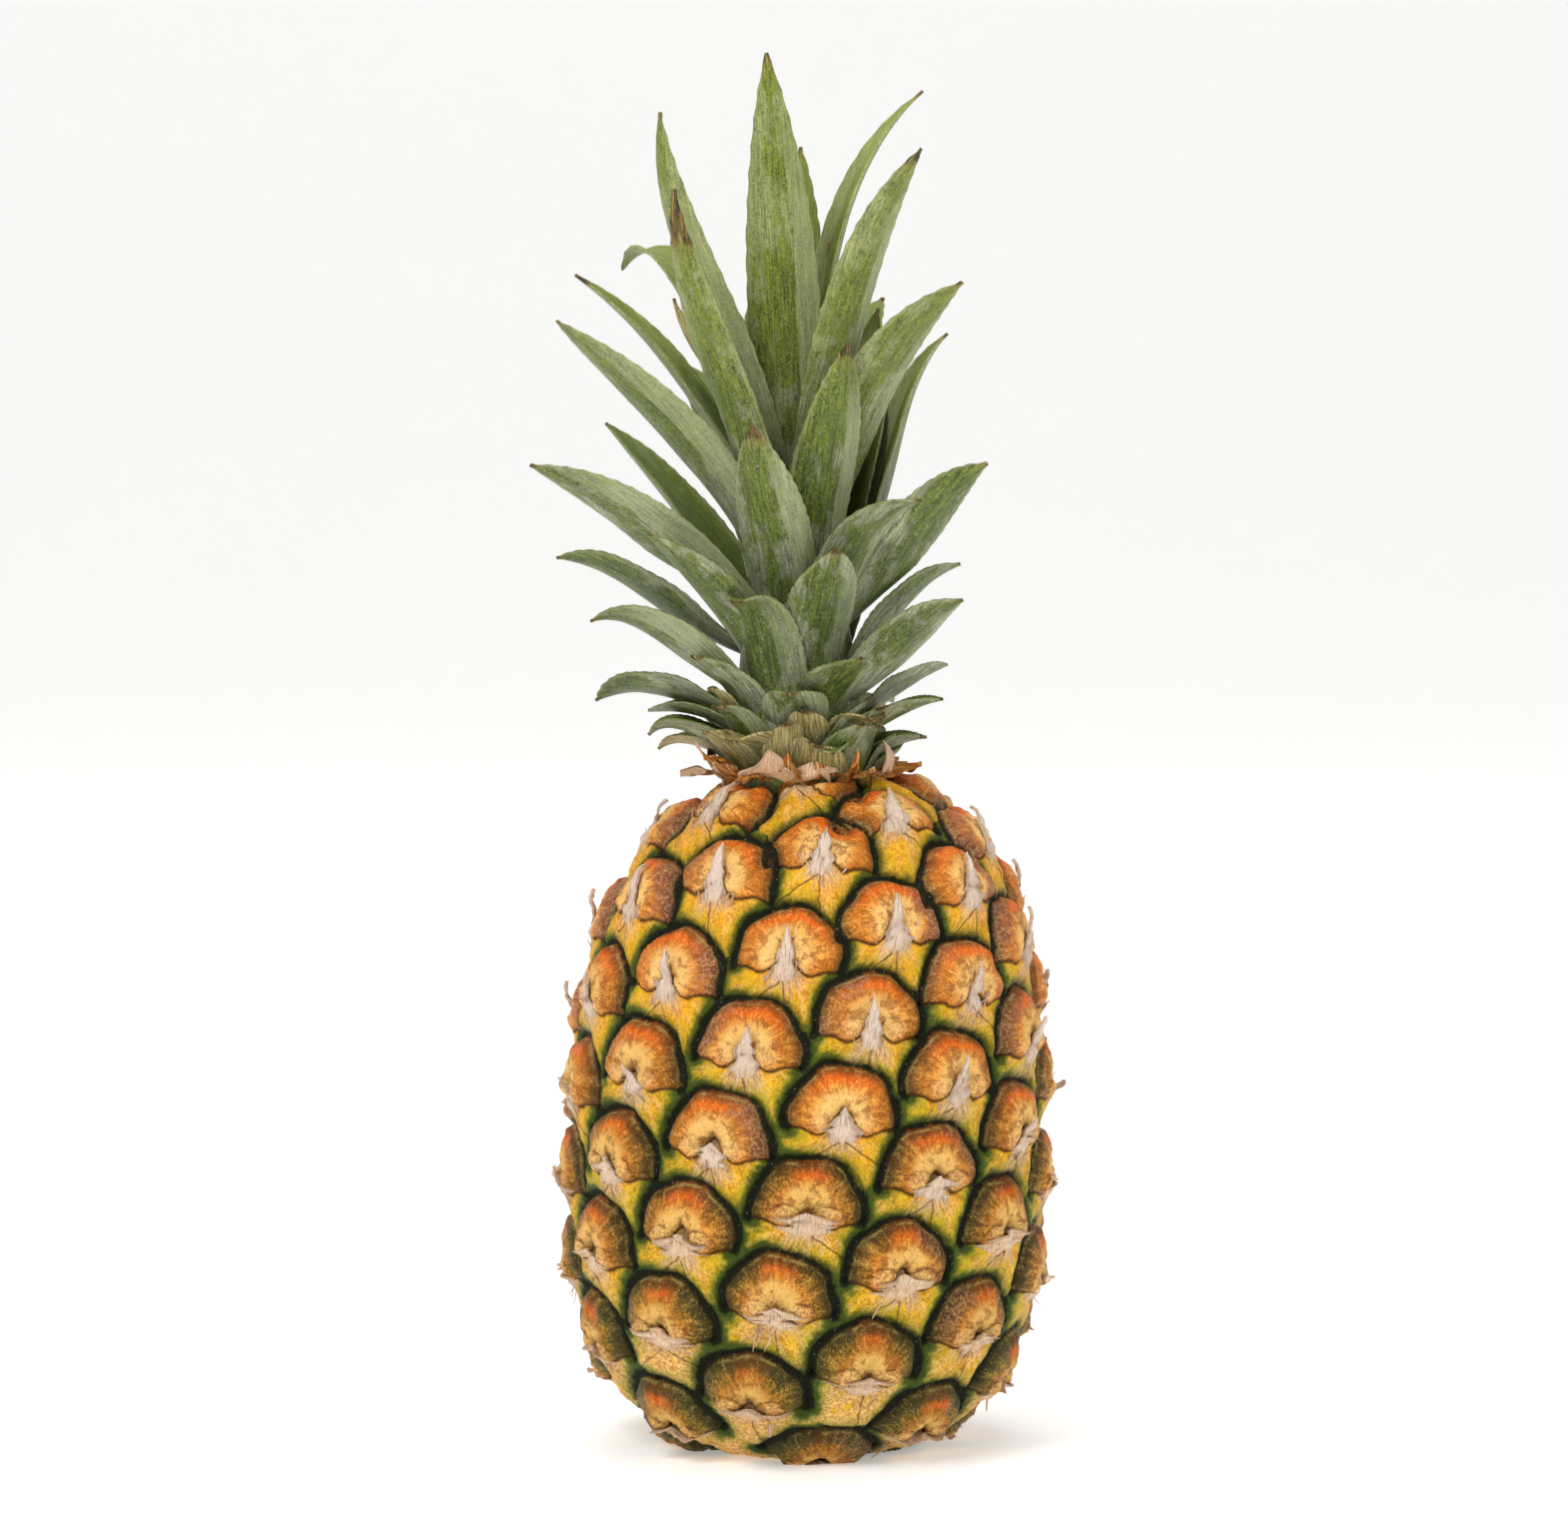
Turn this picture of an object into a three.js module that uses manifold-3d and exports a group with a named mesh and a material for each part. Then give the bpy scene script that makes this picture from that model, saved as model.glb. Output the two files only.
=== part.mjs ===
// A whole pineapple, standing upright: the fruit with its eyes and bracts, the leafy crown, the cut stalk.
// Millimetres, +Z up, origin at the middle of the flat spot that the fruit stands on. -Y is its front.
import * as THREE from 'three';
import { ConvexHull } from 'three/addons/math/ConvexHull.js';
import { mergeVertices } from 'three/addons/utils/BufferGeometryUtils.js';
import Module from 'manifold-3d';

const wasm = await Module();
wasm.setup();

// ---- driving dimensions: fruit ----
const BARREL_RADIUS = 56.6;
const WIDEST_LEVEL = 70;
const FRUIT_TOP = 162;
const FOOT_DEPTH = 2; // how far the full barrel would reach below its flat foot
const SHOULDER_SQUARENESS = 2.6;
const FOOT_SQUARENESS = 2.85;
const BARREL_SWAY = 4; // the top of the barrel bulges this far to +X

// ---- driving dimensions: eyes ----
const EYE_COUNT = 96;
const EYE_PLACES = 95.4; // how many eyes the whole barrel would hold
const EYE_FIRST = 0.3; // where the first eye stands on the spiral, in eyes
const EYE_CROWDING = 0.945; // below 1, the lowest eyes have more room than the upper ones
const EYE_DIVERGENCE = 137.995; // degrees round from one eye to the next one up
const EYE_PHASE = 204.4;
const PATTERN_TILT = new THREE.Euler(0.02, 0.0635, 0, 'XYZ'); // the spiral's own axis leans
const CORNER_SHIFT = 1.7; // most that a cell's corner moves from the middle of its three eyes
const GROOVE_DEPTH = 1.5;
const EYE_RINGS = [
  { at: 0.83, rise: 1.0 },
  { at: 0.45, rise: 1.9 },
];
const EYE_MIDDLE_RISE = 1.2;
const DOME_LEAD = 0.5; // the upper half of an eye stands this much prouder, and its lower half lower

// ---- driving dimensions: bracts ----
const BRACT_WIDTH = 8;
const BRACT_LENGTH_LOW = 7;
const BRACT_LENGTH_TOP = 12;
const BRACT_TIP_RISE = 3.2;
const BRACT_RIDGE = 1.6;
const BRACT_SINK = 1.4;
const BRACT_DROP = 3.2; // its root stands this far below the middle of its eye
const FIRST_BRACT_EYE = 4; // eyes below this one lie under the foot
const LAST_BRACT_EYE = 92; // eyes above this one lie under the crown

// ---- driving dimensions: cut stalk ----
const STALK_RADIUS = 13;
const STALK_HEIGHT = 8;
const FIT_GAP = 0.35;
const ROUND_SIDES = 24;
const GROUND_SPAN = 400; // the block that cuts the fruit's flat foot
const GROUND_DEPTH = 60;

// ---- driving dimensions: crown ----
const CROWN_BASE = 161;
const CROWN_X = -1;
const CROWN_LEAN = -0.03; // sideways per millimetre of height
const ROOT_RADIUS = 16;
const ROOT_DEPTH = 11;
const CORE_HEIGHT = 96;
const CORE_TAPER = 0.86; // share of the root's radius that is gone at the core's top
const CORE_RINGS = 6;
const COLLAR_COUNT = 11; // dry scales round its foot
const COLLAR_LENGTH = 12;
const COLLAR_WIDTH = 9;
const COLLAR_SINK = 2.5;
const COLLAR_LEVEL = 2.6;
const COLLAR_OUT = 0.97; // the way its scales point: mostly outwards, a little up
const COLLAR_UP = 0.26;
const LEAF_FIRST = -8;
const LEAF_LAST = 43;
const HEART_FIRST = 36; // the leaves from here on close over the crown's heart
const LEAF_DIVERGENCE = 137.5;
const LEAF_PHASE = -5;
const LEAF_ROOT_SPAN = 64; // height over which the leaves spring from the core
const LEAF_SINK = 3;
const LEAF_WIDTH = 20;
const LEAF_THICKNESS = 2;
const LEAF_TIP_THICKNESS = 1;
const LEAF_MARGIN = 0.65;
const LEAF_LEAST_WIDTH = 1;
const LEAF_CUP = 0.95; // half the angle that the blade's channel turns through at its root, in radians
const LEAF_TIP_CUP = 0.6;
const ROLL_SPAN = 0.4; // share of the leaf over which its roll comes in
const MIDRIB_EARLY = 0.42; // how far the midrib keeps to its first and last direction, in leaf spans
const MIDRIB_LATE = 0.3;
const LEAF_STATIONS = [0, 0.24, 0.48, 0.7, 0.89, 1];
const LEAF_STRIPS = 4;
const SMALL_LEAF_STRIPS = 2;
const SMALL_BELOW = 11; // the lowest leaves and the heart's last ones are small
const SMALL_ABOVE = 39;

// What single leaves do apart from the rule, by their place on the spiral: how high and how far out the
// tip comes, in millimetres, how the leaf springs from the core and how steeply its tip hangs, in degrees
// from upright, how far it strays sideways, how far the leaf swings round the stem and how far its blade
// rolls over, in degrees.
const LEAF_HABITS = {
  '-7': { rise: 6, reach: 35, lean: 64, droop: 128, swing: 18 },
  '-6': { rise: 9, reach: 31, lean: 62, droop: 88 },
  '-5': { rise: 10, reach: 29, droop: 100 },
  '-3': { droop: 125 },
  '-2': { rise: 10, reach: 36, lean: 72, droop: 140 },
  0: { rise: 22, reach: 28, droop: 80, swing: 4 },
  1: { rise: 15, reach: 38, lean: 48, droop: 96, swing: 38 },
  2: { rise: 19, reach: 35, lean: 63, droop: 80 },
  3: { rise: 30, reach: 29, droop: 60 },
  5: { rise: 31, reach: 36, droop: 50 },
  6: { rise: 17, reach: 52, lean: 75, droop: 124, roll: 20 },
  7: { rise: 26, reach: 39, lean: 78, droop: 72, roll: -20 },
  8: { rise: 43, reach: 33, droop: 120 },
  10: { rise: 44, reach: 46, lean: 57, droop: 68, roll: -20 },
  11: { rise: 38, reach: 50, lean: 60, droop: 112, roll: 20 },
  13: { rise: 57, reach: 38, droop: 40, swing: 11 },
  15: { rise: 51, reach: 40, lean: 45, droop: 72, roll: -15 },
  16: { rise: 60, reach: 47, lean: 36, droop: 56 },
  18: { rise: 68, reach: 48 },
  19: { rise: 52, reach: 58, lean: 72, droop: 92, roll: 25 },
  20: { rise: 95, reach: 30, droop: 20 },
  21: { rise: 86, reach: 40, droop: 20 },
  23: { rise: 76, reach: 49, lean: 48, droop: 60, roll: -35 },
  24: { rise: 76, reach: 67, lean: 48, droop: 68, roll: 30 },
  26: { rise: 105, reach: 32, droop: 12, swing: 6 },
  27: { rise: 84, reach: 51, lean: 45, droop: 48 },
  28: { rise: 106, reach: 40, lean: 42, droop: 48 },
  29: { rise: 141, reach: 50, droop: 2, width: 14 },
  30: { rise: 122, reach: 30, droop: 12 },
  31: { rise: 119, reach: 53, droop: 58, roll: -20 },
  32: { rise: 110, reach: 62, lean: 24, droop: 48, swing: 24, roll: 15 },
  33: { rise: 112, reach: 34, droop: 12 },
  34: { rise: 173, reach: 15, droop: 0, stray: -3 },
  35: { rise: 121, reach: 58, droop: 140 },
  36: { rise: 164, reach: 37, lean: 0, droop: 52, swing: 24, width: 17 },
  37: { rise: 159, reach: 35, droop: -8 },
  38: { rise: 151, reach: 16, droop: 2 },
  39: { rise: 150, reach: 60, lean: 18, droop: 52 },
  40: { rise: 120, reach: 53, lean: 30, droop: 56, width: 17 },
  42: { rise: 115, reach: 28, droop: 8, swing: -52, width: 15 },
};

const WELD = 0.03; // corners closer than this become one

const COLOURS = { fruit: 0xc58b2a, crown: 0x6f8a4e, stalk: 0xcdb98a };

// ---- helpers ----
const TAU = Math.PI * 2;
const radians = THREE.MathUtils.degToRad;
const lerp = THREE.MathUtils.lerp;
const clamp = THREE.MathUtils.clamp;

// A repeatable scatter between 0 and 1 for a whole number.
function scatter(k) {
  const wave = Math.sin(k * 12.9898) * 43758.5453;
  return wave - Math.floor(wave);
}

function solidFrom(points, faces) {
  const vertProperties = new Float32Array(points.flatMap((p) => [p.x, p.y, p.z]));
  const triVerts = new Uint32Array(faces.flat());
  return new wasm.Manifold(new wasm.Mesh({ numProp: 3, vertProperties, triVerts }));
}

function solidOf(geometry) {
  const bare = geometry.index ? geometry.toNonIndexed() : geometry.clone();
  bare.deleteAttribute('normal');
  bare.deleteAttribute('uv');
  const merged = mergeVertices(bare, 1e-4);
  const numbers = Array.from(merged.index.array);
  const faces = [];
  for (let k = 0; k < numbers.length; k += 3) {
    const face = numbers.slice(k, k + 3);
    if (new Set(face).size === 3) faces.push(face);
  }
  return new wasm.Manifold(
    new wasm.Mesh({
      numProp: 3,
      vertProperties: new Float32Array(merged.attributes.position.array),
      triVerts: new Uint32Array(faces.flat()),
    }),
  );
}

// The largest body alone: hollows that joining sealed are filled, and loose scraps are dropped.
function mainBody(solid) {
  return solid.decompose().reduce((most, body) => (body.volume() > most.volume() ? body : most));
}

// Draws together the corners that joining left closer than WELD, and drops the faces that this flattens.
function welded(solid) {
  const { vertProperties, triVerts } = solid.getMesh();
  const corner = (id) => new THREE.Vector3(...vertProperties.slice(3 * id, 3 * id + 3));
  const kept = Array.from({ length: vertProperties.length / 3 }, (_, id) => id);
  const root = (id) => (kept[id] === id ? id : root(kept[id]));
  triVerts.forEach((id, k) => {
    const next = triVerts[k % 3 === 2 ? k - 2 : k + 1];
    if (corner(id).distanceTo(corner(next)) < WELD) kept[root(Math.max(id, next))] = root(Math.min(id, next));
  });
  const faces = new Map(); // by its three corners: a face and its mirror image cancel out
  for (let k = 0; k < triVerts.length; k += 3) {
    const face = [root(triVerts[k]), root(triVerts[k + 1]), root(triVerts[k + 2])];
    const key = [...face].sort((a, b) => a - b).join(' ');
    if (new Set(face).size < 3) continue;
    if (faces.has(key)) faces.delete(key);
    else faces.set(key, face);
  }
  const numbers = new Map();
  const points = [];
  const renumbered = [...faces.values()].map((face) =>
    face.map((id) => {
      if (!numbers.has(id)) numbers.set(id, points.push(corner(id)) - 1);
      return numbers.get(id);
    }),
  );
  return solidFrom(points, renumbered);
}

function settled(solid) {
  return mainBody(welded(mainBody(solid)));
}

function meshOf(solid, name, colour, roughness) {
  const { vertProperties, triVerts } = solid.getMesh();
  const geometry = new THREE.BufferGeometry();
  geometry.setAttribute('position', new THREE.BufferAttribute(new Float32Array(vertProperties), 3));
  geometry.setIndex(new THREE.BufferAttribute(new Uint32Array(triVerts), 1));
  geometry.computeVertexNormals();
  const material = new THREE.MeshStandardMaterial({ color: colour, roughness, metalness: 0 });
  const mesh = new THREE.Mesh(geometry, material);
  mesh.name = name;
  return mesh;
}

// A closed round peg from one level to another.
function peg(radius, low, high, x = 0) {
  const geometry = new THREE.CylinderGeometry(radius, radius, high - low, ROUND_SIDES);
  geometry.rotateX(Math.PI / 2);
  geometry.translate(x, 0, (low + high) / 2);
  return solidOf(geometry);
}

// ---- the barrel's smooth surface ----
const BARREL_MIDDLE = new THREE.Vector3(0, 0, WIDEST_LEVEL);

// Carries a direction from the barrel's middle to the point where it leaves the surface, before the sway.
function onBarrel(direction) {
  const upper = direction.z > 0;
  const squareness = upper ? SHOULDER_SQUARENESS : FOOT_SQUARENESS;
  const reach = upper ? FRUIT_TOP - WIDEST_LEVEL : WIDEST_LEVEL + FOOT_DEPTH;
  const round = Math.hypot(direction.x, direction.y) / BARREL_RADIUS;
  const scale = (round ** squareness + (Math.abs(direction.z) / reach) ** squareness) ** (-1 / squareness);
  return direction.clone().multiplyScalar(scale);
}

function barrelNormal(local) {
  const upper = local.z > 0;
  const squareness = upper ? SHOULDER_SQUARENESS : FOOT_SQUARENESS;
  const reach = upper ? FRUIT_TOP - WIDEST_LEVEL : WIDEST_LEVEL + FOOT_DEPTH;
  const round = Math.hypot(local.x, local.y);
  const across = (round / BARREL_RADIUS) ** (squareness - 1) / BARREL_RADIUS / Math.max(round, 1e-9);
  const along = (Math.sign(local.z) * (Math.abs(local.z) / reach) ** (squareness - 1)) / reach;
  return new THREE.Vector3(local.x * across, local.y * across, along).normalize();
}

// From the barrel's own coordinates to the fruit's, with the sway.
function placed(local) {
  const point = local.clone().add(BARREL_MIDDLE);
  point.x += BARREL_SWAY * (Math.max(point.z, 0) / FRUIT_TOP) ** 3;
  return point;
}

// ---- the spiral of eyes ----
// The barrel's outline, walked from foot to top, with the skin area below each level.
function outlineByArea() {
  const steps = 600;
  const walk = [];
  let area = 0;
  for (let k = 0; k <= steps; k++) {
    const angle = lerp(-Math.PI / 2, Math.PI / 2, k / steps);
    const local = onBarrel(new THREE.Vector3(Math.cos(angle), 0, Math.sin(angle)));
    const last = walk[k - 1];
    if (last) {
      const step = Math.hypot(local.x - last.radius, local.z - last.level);
      area += Math.PI * (last.radius + local.x) * step;
    }
    walk.push({ radius: local.x, level: local.z, area });
  }
  return walk;
}

function eyeCentres() {
  const walk = outlineByArea();
  const total = walk[walk.length - 1].area;
  return Array.from({ length: EYE_COUNT }, (_, eye) => {
    const wanted = total * ((eye + EYE_FIRST) / EYE_PLACES) ** EYE_CROWDING;
    const above = walk.findIndex((step) => step.area >= wanted);
    const low = walk[above - 1];
    const high = walk[above];
    const part = (wanted - low.area) / (high.area - low.area);
    const radius = lerp(low.radius, high.radius, part);
    const level = lerp(low.level, high.level, part);
    const turn = radians(EYE_PHASE - EYE_DIVERGENCE * eye);
    const spot = new THREE.Vector3(radius * Math.sin(turn), -radius * Math.cos(turn), level);
    return onBarrel(spot.applyEuler(PATTERN_TILT));
  });
}

// Up along the skin and to the right of it, at an eye.
function eyeAxes(centre) {
  const normal = barrelNormal(centre);
  const axis = new THREE.Vector3(0, 0, 1).applyEuler(PATTERN_TILT);
  const up = axis.addScaledVector(normal, -axis.dot(normal)).normalize();
  return { normal, up, right: up.clone().cross(normal) };
}

// ---- the fruit's skin: one many-sided cell round each eye, raised in rings ----
// Where three neighbouring eyes meet: near the point that is as far from each of them.
function meetingPoint(a, b, c) {
  const ab = b.clone().sub(a);
  const ac = c.clone().sub(a);
  const across = ab.clone().cross(ac);
  const offset = across.clone().cross(ab).multiplyScalar(ac.lengthSq());
  offset.add(ac.clone().cross(across).multiplyScalar(ab.lengthSq()));
  const even = a.clone().addScaledVector(offset, 1 / (2 * across.lengthSq()));
  const middle = a.clone().add(b).add(c).divideScalar(3);
  const shift = even.sub(middle).clampLength(0, CORNER_SHIFT);
  return onBarrel(middle.add(shift));
}

// The corners of the cell round each eye, in order, from the triangles that join neighbouring eyes.
function cellCorners(centres) {
  const hull = new ConvexHull().setFromPoints(centres);
  const corners = [];
  const round = centres.map(() => new Map()); // for each eye: what follows each of its neighbours
  for (const face of hull.faces) {
    const edges = [face.edge.prev, face.edge, face.edge.next];
    const [a, b, c] = edges.map((edge) => centres.indexOf(edge.head().point));
    const id = corners.push(meetingPoint(centres[a], centres[b], centres[c])) - 1;
    round[a].set(b, { id, next: c });
    round[b].set(c, { id, next: a });
    round[c].set(a, { id, next: b });
  }
  const rings = round.map((steps) => {
    const ring = [];
    let [neighbour] = steps.keys();
    while (ring.length < steps.size) {
      const { id, next } = steps.get(neighbour);
      ring.push(id);
      neighbour = next;
    }
    return ring;
  });
  return { corners, rings };
}

function fruitSkin(centres) {
  const { corners, rings } = cellCorners(centres);
  const points = [];
  const faces = [];
  const addPoint = (local, rise) => points.push(placed(local).addScaledVector(barrelNormal(local), rise)) - 1;
  const cornerIds = corners.map((corner) => addPoint(corner, -GROOVE_DEPTH));
  const middleIds = new Map();
  const middleOf = (a, b) => {
    const key = a < b ? `${a} ${b}` : `${b} ${a}`;
    if (!middleIds.has(key)) {
      const middle = onBarrel(corners[a].clone().add(corners[b]));
      middleIds.set(key, { id: addPoint(middle, -GROOVE_DEPTH), middle });
    }
    return middleIds.get(key);
  };
  centres.forEach((centre, eye) => {
    const { up } = eyeAxes(centre);
    const ring = rings[eye];
    const rim = ring.flatMap((corner, k) => {
      const { id, middle } = middleOf(corner, ring[(k + 1) % ring.length]);
      return [{ id: cornerIds[corner], spot: corners[corner] }, { id, spot: middle }];
    });
    let outer = rim.map(({ id }) => id);
    for (const { at, rise } of EYE_RINGS) {
      const inner = rim.map(({ spot }) => {
        const away = spot.clone().sub(centre);
        const lead = (DOME_LEAD * away.dot(up)) / away.length();
        return addPoint(onBarrel(centre.clone().addScaledVector(away, at)), rise + lead);
      });
      outer.forEach((id, k) => {
        const next = (k + 1) % outer.length;
        faces.push([id, outer[next], inner[next]], [id, inner[next], inner[k]]);
      });
      outer = inner;
    }
    const middle = addPoint(centre, EYE_MIDDLE_RISE);
    outer.forEach((id, k) => faces.push([id, outer[(k + 1) % outer.length], middle]));
  });
  return solidFrom(points, faces);
}

// ---- bracts: ridged papery points, their broad ends sunk in the skin ----
function bract(root, right, up, normal, { width, length, rise, stray = 0 }) {
  const points = [
    root.clone().addScaledVector(right, -width / 2).addScaledVector(normal, -BRACT_SINK),
    root.clone().addScaledVector(right, width / 2).addScaledVector(normal, -BRACT_SINK),
    root.clone().addScaledVector(normal, BRACT_RIDGE),
    root.clone().addScaledVector(up, length).addScaledVector(normal, rise).addScaledVector(right, stray),
  ];
  return solidFrom(points, [[0, 2, 1], [0, 1, 3], [1, 2, 3], [2, 0, 3]]);
}

function eyeBracts(centres) {
  return centres.slice(FIRST_BRACT_EYE, LAST_BRACT_EYE).map((centre, k) => {
    const { normal, up, right } = eyeAxes(centre);
    const level = clamp(placed(centre).z / FRUIT_TOP, 0, 1);
    const root = placed(centre).addScaledVector(up, -BRACT_DROP).addScaledVector(normal, EYE_MIDDLE_RISE);
    return bract(root, right, up, normal, {
      width: BRACT_WIDTH,
      length: lerp(BRACT_LENGTH_LOW, BRACT_LENGTH_TOP, level ** 1.5) * lerp(0.85, 1.15, scatter(k)),
      rise: BRACT_TIP_RISE * lerp(0.75, 1.2, scatter(k + 100)),
      stray: lerp(-0.8, 0.8, scatter(k + 0.5)),
    });
  });
}

function fruitSolid() {
  const centres = eyeCentres();
  const grown = wasm.Manifold.union([fruitSkin(centres), ...eyeBracts(centres)]);
  const block = new THREE.BoxGeometry(GROUND_SPAN, GROUND_SPAN, GROUND_DEPTH);
  const ground = solidOf(block.translate(0, 0, -GROUND_DEPTH / 2));
  const crownPocket = peg(ROOT_RADIUS + FIT_GAP, CROWN_BASE - ROOT_DEPTH - FIT_GAP, CROWN_BASE + 30, CROWN_X);
  const stalkPocket = peg(STALK_RADIUS + FIT_GAP, -10, STALK_HEIGHT + FIT_GAP);
  return settled(grown.subtract(ground).subtract(crownPocket).subtract(stalkPocket));
}

// ---- the crown ----
function coreRadius(height) {
  const part = clamp(height / CORE_HEIGHT, 0, 1);
  return ROOT_RADIUS * (1 - CORE_TAPER * part ** 1.5);
}

function crownCore() {
  const profile = [new THREE.Vector2(0, -ROOT_DEPTH), new THREE.Vector2(ROOT_RADIUS, -ROOT_DEPTH)];
  for (let k = 0; k <= CORE_RINGS; k++) {
    const level = (CORE_HEIGHT * k) / CORE_RINGS;
    profile.push(new THREE.Vector2(coreRadius(level), level));
  }
  profile.push(new THREE.Vector2(0, CORE_HEIGHT));
  return new THREE.LatheGeometry(profile, ROUND_SIDES).rotateX(Math.PI / 2);
}

// Sets a point of the crown on the fruit, with the crown's lean.
function onCrown(point) {
  return new THREE.Vector3(
    point.x + CROWN_X + CROWN_LEAN * Math.max(point.z, 0),
    point.y,
    point.z + CROWN_BASE,
  );
}

// What the rule gives for a leaf, with its own habits laid over it.
function leafTraits(leaf) {
  const age = (leaf - LEAF_FIRST) / (LEAF_LAST - LEAF_FIRST); // 0 for the lowest leaf, 1 for the heart
  const heart = clamp((leaf - HEART_FIRST) / (LEAF_LAST - HEART_FIRST), 0, 1);
  const rule = {
    rise: leaf < 0 ? 18 + 1.3 * leaf : 18 + 2.2 * leaf + 0.065 * leaf ** 2,
    reach: leaf < 24 ? 31 + 1.3 * Math.max(leaf, -4) : lerp(62, 50, (leaf - 24) / 12),
    droop: lerp(104, 30, clamp((leaf - 12) / 24, 0, 1)),
    stray: 4 * (scatter(leaf + 60) - 0.5),
  };
  if (leaf >= HEART_FIRST) {
    rule.rise = lerp(168, 112, heart);
    rule.reach = lerp(34, 5, heart);
    rule.droop = lerp(24, 0, heart);
  }
  const habit = LEAF_HABITS[leaf] ?? {};
  return {
    turn: radians(LEAF_PHASE - LEAF_DIVERGENCE * leaf + (habit.swing ?? 0)),
    roll: 0,
    root: LEAF_ROOT_SPAN * age ** 1.35 + 1.5,
    lean: lerp(30, 2, Math.sqrt(age)),
    width: LEAF_WIDTH * lerp(0.85, 1, clamp((leaf + 8) / 16, 0, 1)) * lerp(1, 0.55, heart),
    ...rule,
    ...habit,
  };
}

// The leaf's midrib: a curve that springs steeply from the core and bends over to its tip.
function midrib({ root, lean, rise, reach, droop }) {
  const start = new THREE.Vector2(coreRadius(root) - LEAF_SINK, root);
  const tip = new THREE.Vector2(reach, rise);
  const span = start.distanceTo(tip);
  const spring = radians(lean);
  const hang = radians(droop);
  const early = new THREE.Vector2(Math.sin(spring), Math.cos(spring)).multiplyScalar(span * MIDRIB_EARLY);
  const late = new THREE.Vector2(Math.sin(hang), Math.cos(hang)).multiplyScalar(-span * MIDRIB_LATE);
  return new THREE.CubicBezierCurve(start, early.add(start), late.add(tip), tip);
}

function bladeWidth(along) {
  return (0.78 + 0.75 * along - 0.1 * along ** 2) * Math.max(1 - along ** 2.3, 0) ** 0.9;
}

function leafSolid(leaf) {
  const traits = leafTraits(leaf);
  const strips = leaf < SMALL_BELOW || leaf > SMALL_ABOVE ? SMALL_LEAF_STRIPS : LEAF_STRIPS;
  const curve = midrib(traits);
  const outward = new THREE.Vector3(Math.sin(traits.turn), -Math.cos(traits.turn), 0);
  const side = new THREE.Vector3(Math.cos(traits.turn), Math.sin(traits.turn), 0);
  const points = [];
  for (const along of LEAF_STATIONS) {
    const { x: away, y: height } = curve.getPoint(along);
    const slope = curve.getTangent(along);
    const inward = outward.clone().multiplyScalar(-slope.y).add(new THREE.Vector3(0, 0, slope.x));
    const middle = outward.clone().multiplyScalar(away).add(new THREE.Vector3(0, 0, height));
    middle.addScaledVector(side, traits.stray * along ** 2);
    const roll = radians(traits.roll) * THREE.MathUtils.smoothstep(along, 0, ROLL_SPAN);
    const across = side.clone().multiplyScalar(Math.cos(roll)).addScaledVector(inward, Math.sin(roll));
    inward.multiplyScalar(Math.cos(roll)).addScaledVector(side, -Math.sin(roll));
    const half = Math.max(traits.width * bladeWidth(along), LEAF_LEAST_WIDTH) / 2;
    const cup = lerp(LEAF_CUP, LEAF_TIP_CUP, along);
    const bend = half / cup;
    const thick = lerp(LEAF_THICKNESS, LEAF_TIP_THICKNESS, along);
    for (const layer of [0, 1]) {
      for (let k = 0; k <= strips; k++) {
        const over = (2 * k) / strips - 1;
        const swing = cup * over;
        const depth = layer * Math.max(thick * (1 - over ** 2), LEAF_MARGIN);
        const spot = middle.clone().addScaledVector(across, (bend - depth) * Math.sin(swing));
        points.push(onCrown(spot.addScaledVector(inward, bend - (bend - depth) * Math.cos(swing))));
      }
    }
  }
  return solidFrom(points, leafFaces(strips));
}

// Faces of a blade: its outer and inner sides split alike, its margins, its sunk end and its tip.
function leafFaces(strips) {
  const row = strips + 1;
  const at = (station, layer, k) => (station * 2 + layer) * row + k;
  const faces = [];
  const quad = (a, b, c, d) => faces.push([a, b, c], [a, c, d]);
  const last = LEAF_STATIONS.length - 1;
  for (let s = 0; s < last; s++) {
    for (let k = 0; k < strips; k++) {
      quad(at(s, 0, k), at(s, 0, k + 1), at(s + 1, 0, k + 1), at(s + 1, 0, k));
      faces.push([at(s, 1, k), at(s + 1, 1, k + 1), at(s, 1, k + 1)]);
      faces.push([at(s, 1, k), at(s + 1, 1, k), at(s + 1, 1, k + 1)]);
    }
    quad(at(s, 1, 0), at(s, 0, 0), at(s + 1, 0, 0), at(s + 1, 1, 0));
    quad(at(s, 0, strips), at(s, 1, strips), at(s + 1, 1, strips), at(s + 1, 0, strips));
  }
  for (let k = 0; k < strips; k++) {
    quad(at(0, 0, k), at(0, 1, k), at(0, 1, k + 1), at(0, 0, k + 1));
    quad(at(last, 0, k), at(last, 0, k + 1), at(last, 1, k + 1), at(last, 1, k));
  }
  return faces;
}

// The dry scales round the crown's foot, below its lowest leaves.
function collarScales() {
  return Array.from({ length: COLLAR_COUNT }, (_, k) => {
    const turn = (TAU * (k + 0.3 * scatter(k + 200))) / COLLAR_COUNT;
    const outward = new THREE.Vector3(Math.sin(turn), -Math.cos(turn), 0);
    const right = new THREE.Vector3(Math.cos(turn), Math.sin(turn), 0);
    const up = new THREE.Vector3(0, 0, COLLAR_UP).addScaledVector(outward, COLLAR_OUT);
    const root = outward.clone().multiplyScalar(ROOT_RADIUS - COLLAR_SINK).setZ(COLLAR_LEVEL);
    const length = COLLAR_LENGTH * lerp(0.8, 1.2, scatter(k + 300));
    const traits = { width: COLLAR_WIDTH, length, rise: 0.5, stray: 3 * (scatter(k) - 0.5) };
    return bract(onCrown(root), right, up, right.clone().cross(up), traits);
  });
}

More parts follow.
